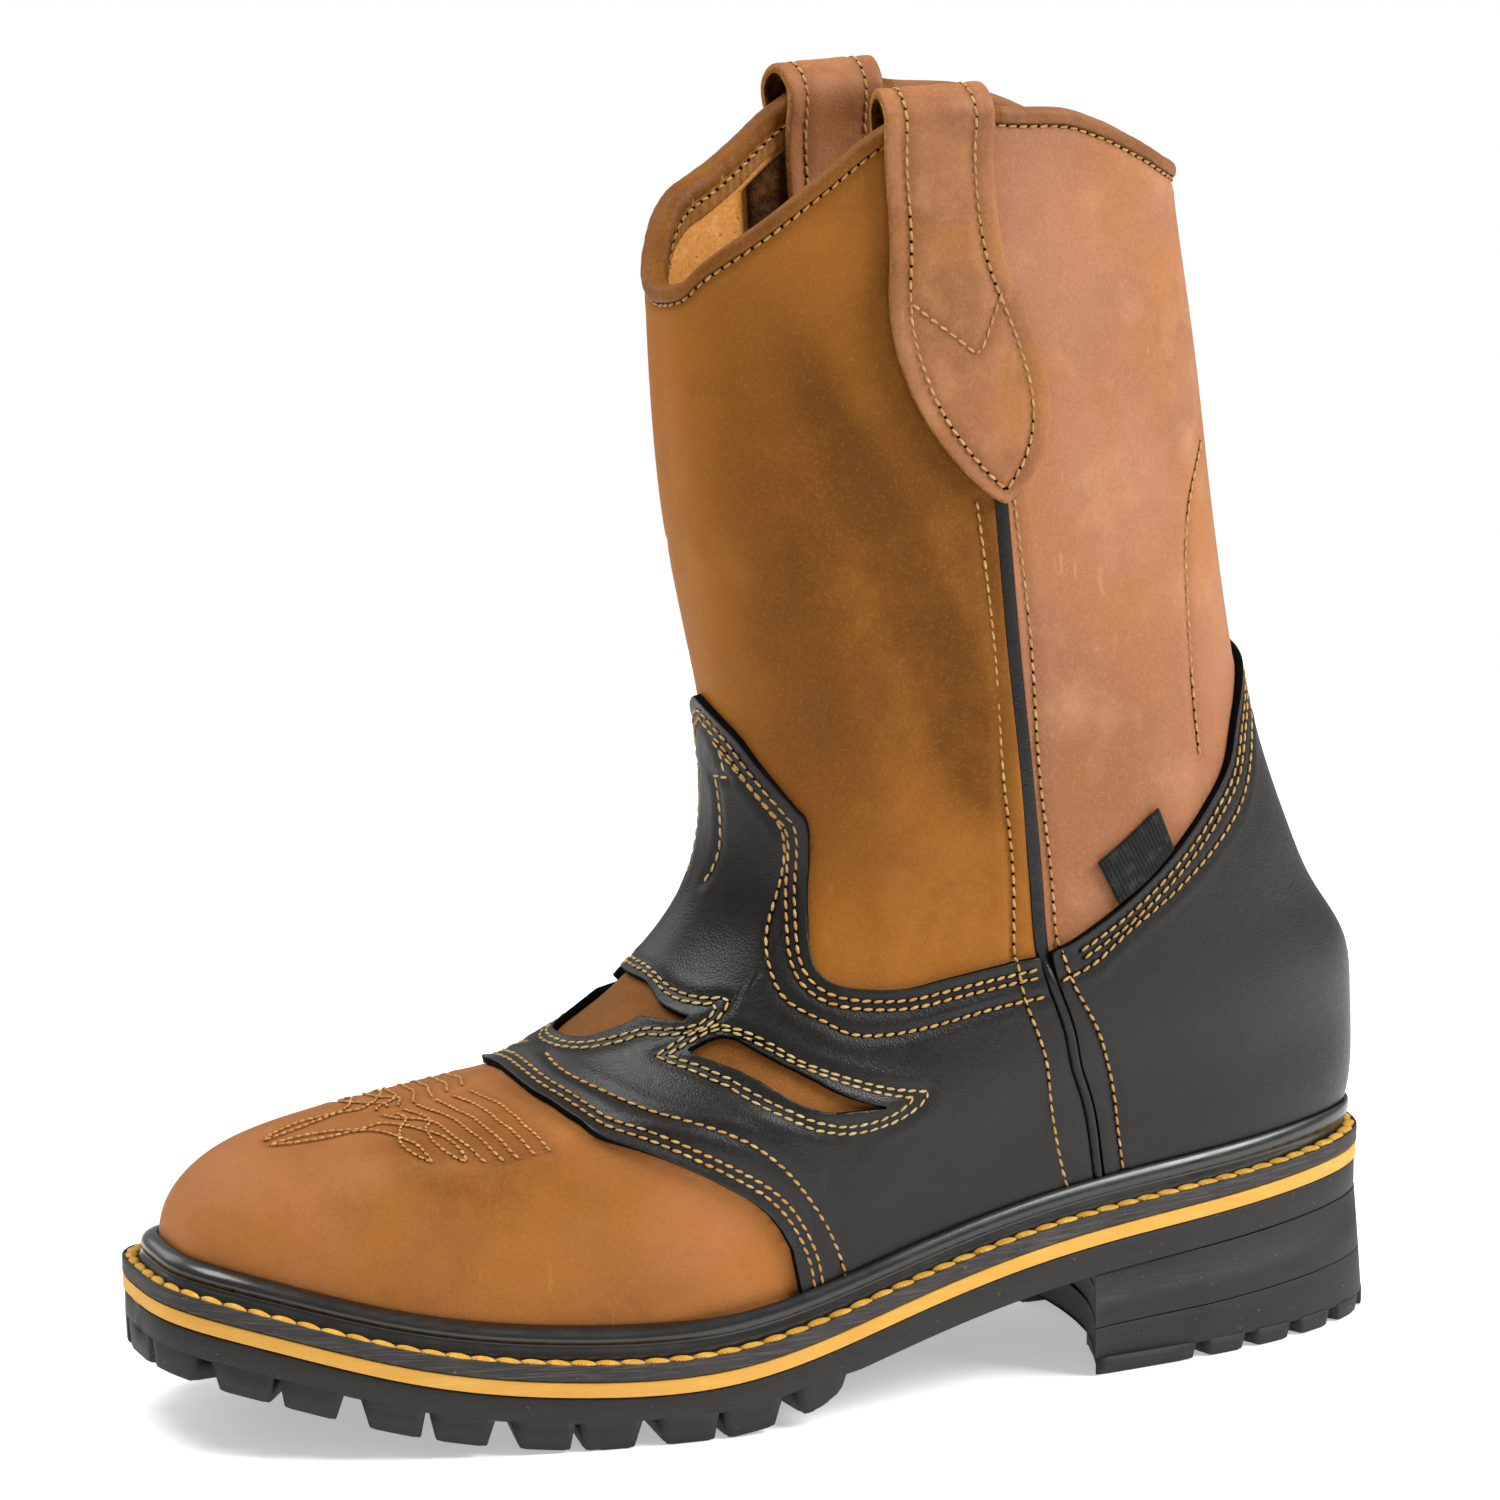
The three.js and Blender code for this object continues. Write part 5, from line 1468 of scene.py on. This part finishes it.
innerReach = byTurn([[0, -7.6], [56, -7.6], [76, -4.9], [180, -4.9]])
bed = bevelSharp(acrossPlate(lambda t: innerReach(t) - 0.3, lambda x: weltTop(x) + 2.6,
                             lambda x: weltTop(x) + 6.8, count=130, across=30), 1.2)
lay = bed.loops.layers.uv.new("lay")
for face in bed.faces:
    for loop in face.loops:
        loop[lay].uv = (loop.vert.co.x / 100, loop.vert.co.y / 100)
        if loop.vert.co.z > weltTop(loop.vert.co.x) + 5:
            loop.vert.tag = True
for vert in bed.verts:
    if vert.tag:
        # dished under the heel, a little raised under the arch
        x, y = vert.co.x, vert.co.y
        vert.co.z += -0.8 * math.exp(-((x - 105) / 24) ** 2 - (y / 20) ** 2) + 0.5 * math.exp(
            -((x - 30) / 40) ** 2 - ((y - 25) / 12) ** 2)
footbed = finishPiece("footbed", bed, [meshFabric], ("footbed",))
print("sole and footbed made")


def sewing(name, rows, look, material, holes=True, nodes=(), rings=(6, 5)):
    # a plump stitch from hole to hole, tilted a little, and a dark disc of painted shadow for the hole at
    # each end
    whole = bmesh.new()
    for spots, outs in rows:
        part = bmesh.new()
        uv = part.loops.layers.uv.new("ply")
        for i in range(len(spots) - 1):
            a, b = Vector(spots[i]), Vector(spots[i + 1])
            out = Vector(outs[i])
            run = (b - a).normalized()
            tilt = Matrix.Rotation(look["tilt"] + dice.uniform(-0.08, 0.08), 3, out)
            run = tilt @ run
            side = out.cross(run).normalized()
            out = run.cross(side).normalized()
            size = ((b - a).length * look["length"] / 2, look["width"] / 2 * dice.uniform(0.9, 1.1),
                    look["height"] / 2)
            turned = Matrix((run, side, out)).transposed().to_4x4()
            middle = (a + b) / 2 + out * (look["rise"] + dice.uniform(-0.04, 0.04))
            place = Matrix.Translation(middle) @ turned @ Matrix.Diagonal((*size, 1.0))
            ball = bmesh.ops.create_uvsphere(part, u_segments=rings[0], v_segments=rings[1], radius=1.0,
                                             matrix=place @ Matrix.Rotation(math.pi / 2, 4, "Y"))
            for vert in ball["verts"]:
                local = place.inverted() @ vert.co
                for loop in vert.link_loops:
                    loop[uv].uv = (local.x * 1.2 + i * 0.37, local.y)
            if holes:
                disc = Matrix.Translation(a + Vector(outs[i]) * look["holeRise"]) @ turned
                pit = bmesh.ops.create_circle(part, cap_ends=True, radius=look["hole"], segments=7,
                                              matrix=disc)
                for face in {f for vert in pit["verts"] for f in vert.link_faces}:
                    face.material_index = 1
        addRow = bpy.data.meshes.new("row")
        part.to_mesh(addRow)
        part.free()
        whole.from_mesh(addRow)
        bpy.data.meshes.remove(addRow)
    return finishPiece(name, whole, [material, needleHoleShadow], nodes)


stitches = {"length": 0.84, "width": 0.72, "height": 0.66, "rise": -0.1, "tilt": 0.13, "hole": 0.42,
            "holeRise": -0.3}
sewing("golden_stitches", seams["golden"], stitches, goldThread, rings=(6, 4))
sewing("window_stitches", seams["pale"], dict(stitches, width=0.66), paleThread,
       rings=(6, 4))
sewing("toe_stitches", seams["toe"], dict(stitches, width=0.72, height=0.62, rise=-0.05, hole=0.28),
       toeThread, rings=(6, 4))

# Welt stitches: thick waxed cord, about 5.6 mm apart in the channel.
cordLook = {"pitch": 5.6, "length": 1.02, "width": 2.7, "height": 1.7, "rise": 0.2, "tilt": -0.2}
turn = ringTurn(np.linspace(0, 1, 3000))
p = outline(turn, weltEdge(turn) - 1.9)
channel = np.stack([p[:, 0], p[:, 1], weltTop(p[:, 0]) - 0.3], -1)
up = np.tile([0.0, 0.0, 1.0], (len(channel), 1))
sewing("welt_stitches", [holesAlong(channel, up, cordLook["pitch"])], cordLook, yellowCord,
       holes=False, nodes=("welt_stitching",), rings=(12, 9))
print("stitches made")


def innerLook(name, look):
    # The hidden build of the boot: board, cork or plain steel.
    material, tree, surface = newMaterial(name, {"Metallic": look["metal"], "IOR": 1.5})
    place = placeOf(tree)
    patch = noiseAt(tree, place, look["patch"], 4.0, 0.6)
    grain = noiseAt(tree, place, look["grain"], 3.0, 0.6, seed=2.0)
    base = layColours(tree, colour(look["dark"]), look, (patch, 1.0, 0.35, 0.65, "main"),
                      (grain, 0.6, 0.5, 0.75, "pale"))
    rough = rangeOf(tree, patch, look["rough"] - 0.08, look["rough"] + 0.08, 0.3, 0.7)
    dress(tree, surface, base, rough=rough, normal=bumpOf(tree, grain, look["bump"], 0.0004))
    return material


innerLooks = {
    "pressed_leather_board": {"nodes": ("insole_board",), "main": "a98358", "dark": "8c6a44",
                              "pale": "c6a47a", "metal": 0.0, "patch": 8.0, "grain": 1.0, "rough": 0.85,
                              "bump": 0.5},
    "cork_granules": {"nodes": ("cork_filler",), "main": "b98d5a", "dark": "8a6238", "pale": "d8b684",
                      "metal": 0.0, "patch": 2.2, "grain": 1.0, "rough": 0.9, "bump": 0.8},
    "pressed_steel": {"nodes": ("steel_toe_cap", "steel_shank"), "main": "9a9c9e", "dark": "7d7f82",
                      "pale": "b5b7ba", "metal": 1.0, "patch": 12.0, "grain": 0.8, "rough": 0.38,
                      "bump": 0.1},
}
for name, look in innerLooks.items():
    material = innerLook(name, look)
    for node in look["nodes"]:
        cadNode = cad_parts[node]
        cadNode.data.materials.clear()
        cadNode.data.materials.append(material)

# Floor, lights and camera.
studio = {"floor": "f7f7f7", "shade": "f4f4f4", "floorRadius": 0.85, "world": 0.36, "key": 27.0, "top": 12.0,
          "rim": 4.0, "glow": 0.42, "camera": (-0.5771, -1.3502, 0.4553),
          "target": (-0.00386, 0.0004, 0.14345), "lens": 159.12}
floorMesh = bmesh.new()
bmesh.ops.create_circle(floorMesh, cap_ends=True, radius=studio["floorRadius"], segments=64)
floorData = bpy.data.meshes.new("floor")
floorMesh.to_mesh(floorData)
floorMesh.free()
floor = bpy.data.objects.new("floor", floorData)
floorData.transform(Matrix.Translation((0, 0, -0.0002)))
paper, tree, surface = newMaterial("white_paper_floor", {"Roughness": 0.9, "Specular IOR Level": 0.1})
toneAndPaintedShade = noiseAt(tree, placeOf(tree), 300.0, 2.0)
dress(tree, surface, blendColours(tree, rangeOf(tree, toneAndPaintedShade, 0.0, 1.0, 0.3, 0.7), colour(studio["shade"]),
                                             colour(studio["floor"])))
surface.inputs["Emission Color"].default_value = (1, 1, 1, 1)
surface.inputs["Emission Strength"].default_value = studio["glow"]
floorData.materials.append(paper)
bpy.context.scene.collection.objects.link(floor)

world = bpy.data.worlds.new("studio")
bpy.context.scene.world = world
world.use_nodes = True
sky = world.node_tree.nodes["Background"]
sky.inputs["Color"].default_value = (1, 1, 1, 1)
# the backdrop is seen white, and lights the boot more softly
seen = addNode(world.node_tree, "LightPath").outputs["Is Camera Ray"]
world.node_tree.links.new(rangeOf(world.node_tree, seen, studio["world"], 1.0), sky.inputs["Strength"])


def softLight(name, spot, aim, size, power):
    lamp = bpy.data.lights.new(name, "AREA")
    lamp.shape, lamp.size, lamp.size_y, lamp.energy = "RECTANGLE", size[0], size[1], power
    thing = bpy.data.objects.new(name, lamp)
    thing.location = spot
    thing.rotation_euler = (Vector(aim) - Vector(spot)).to_track_quat("-Z", "Y").to_euler()
    bpy.context.scene.collection.objects.link(thing)


softLight("key", (1.1, -0.7, 1.1), (0, 0, 0.15), (0.8, 0.8), studio["key"])
softLight("top", (-0.5, 0.1, 1.35), (-0.08, 0, 0.1), (0.7, 0.7), studio["top"])
softLight("back", (-0.6, 1.2, 0.9), (0, 0, 0.15), (0.8, 0.8), studio["rim"])

camera = bpy.data.objects.new("camera", bpy.data.cameras.new("camera"))
camera.location = studio["camera"]
aim = Vector(studio["target"]) - Vector(studio["camera"])
camera.rotation_euler = aim.to_track_quat("-Z", "Y").to_euler()
camera.data.lens, camera.data.sensor_width = studio["lens"], 36.0
camera.data.clip_start, camera.data.clip_end = 0.05, 20
bpy.context.scene.collection.objects.link(camera)
bpy.context.scene.camera = camera
bpy.context.scene.view_settings.view_transform = "Standard"
print("stage set")
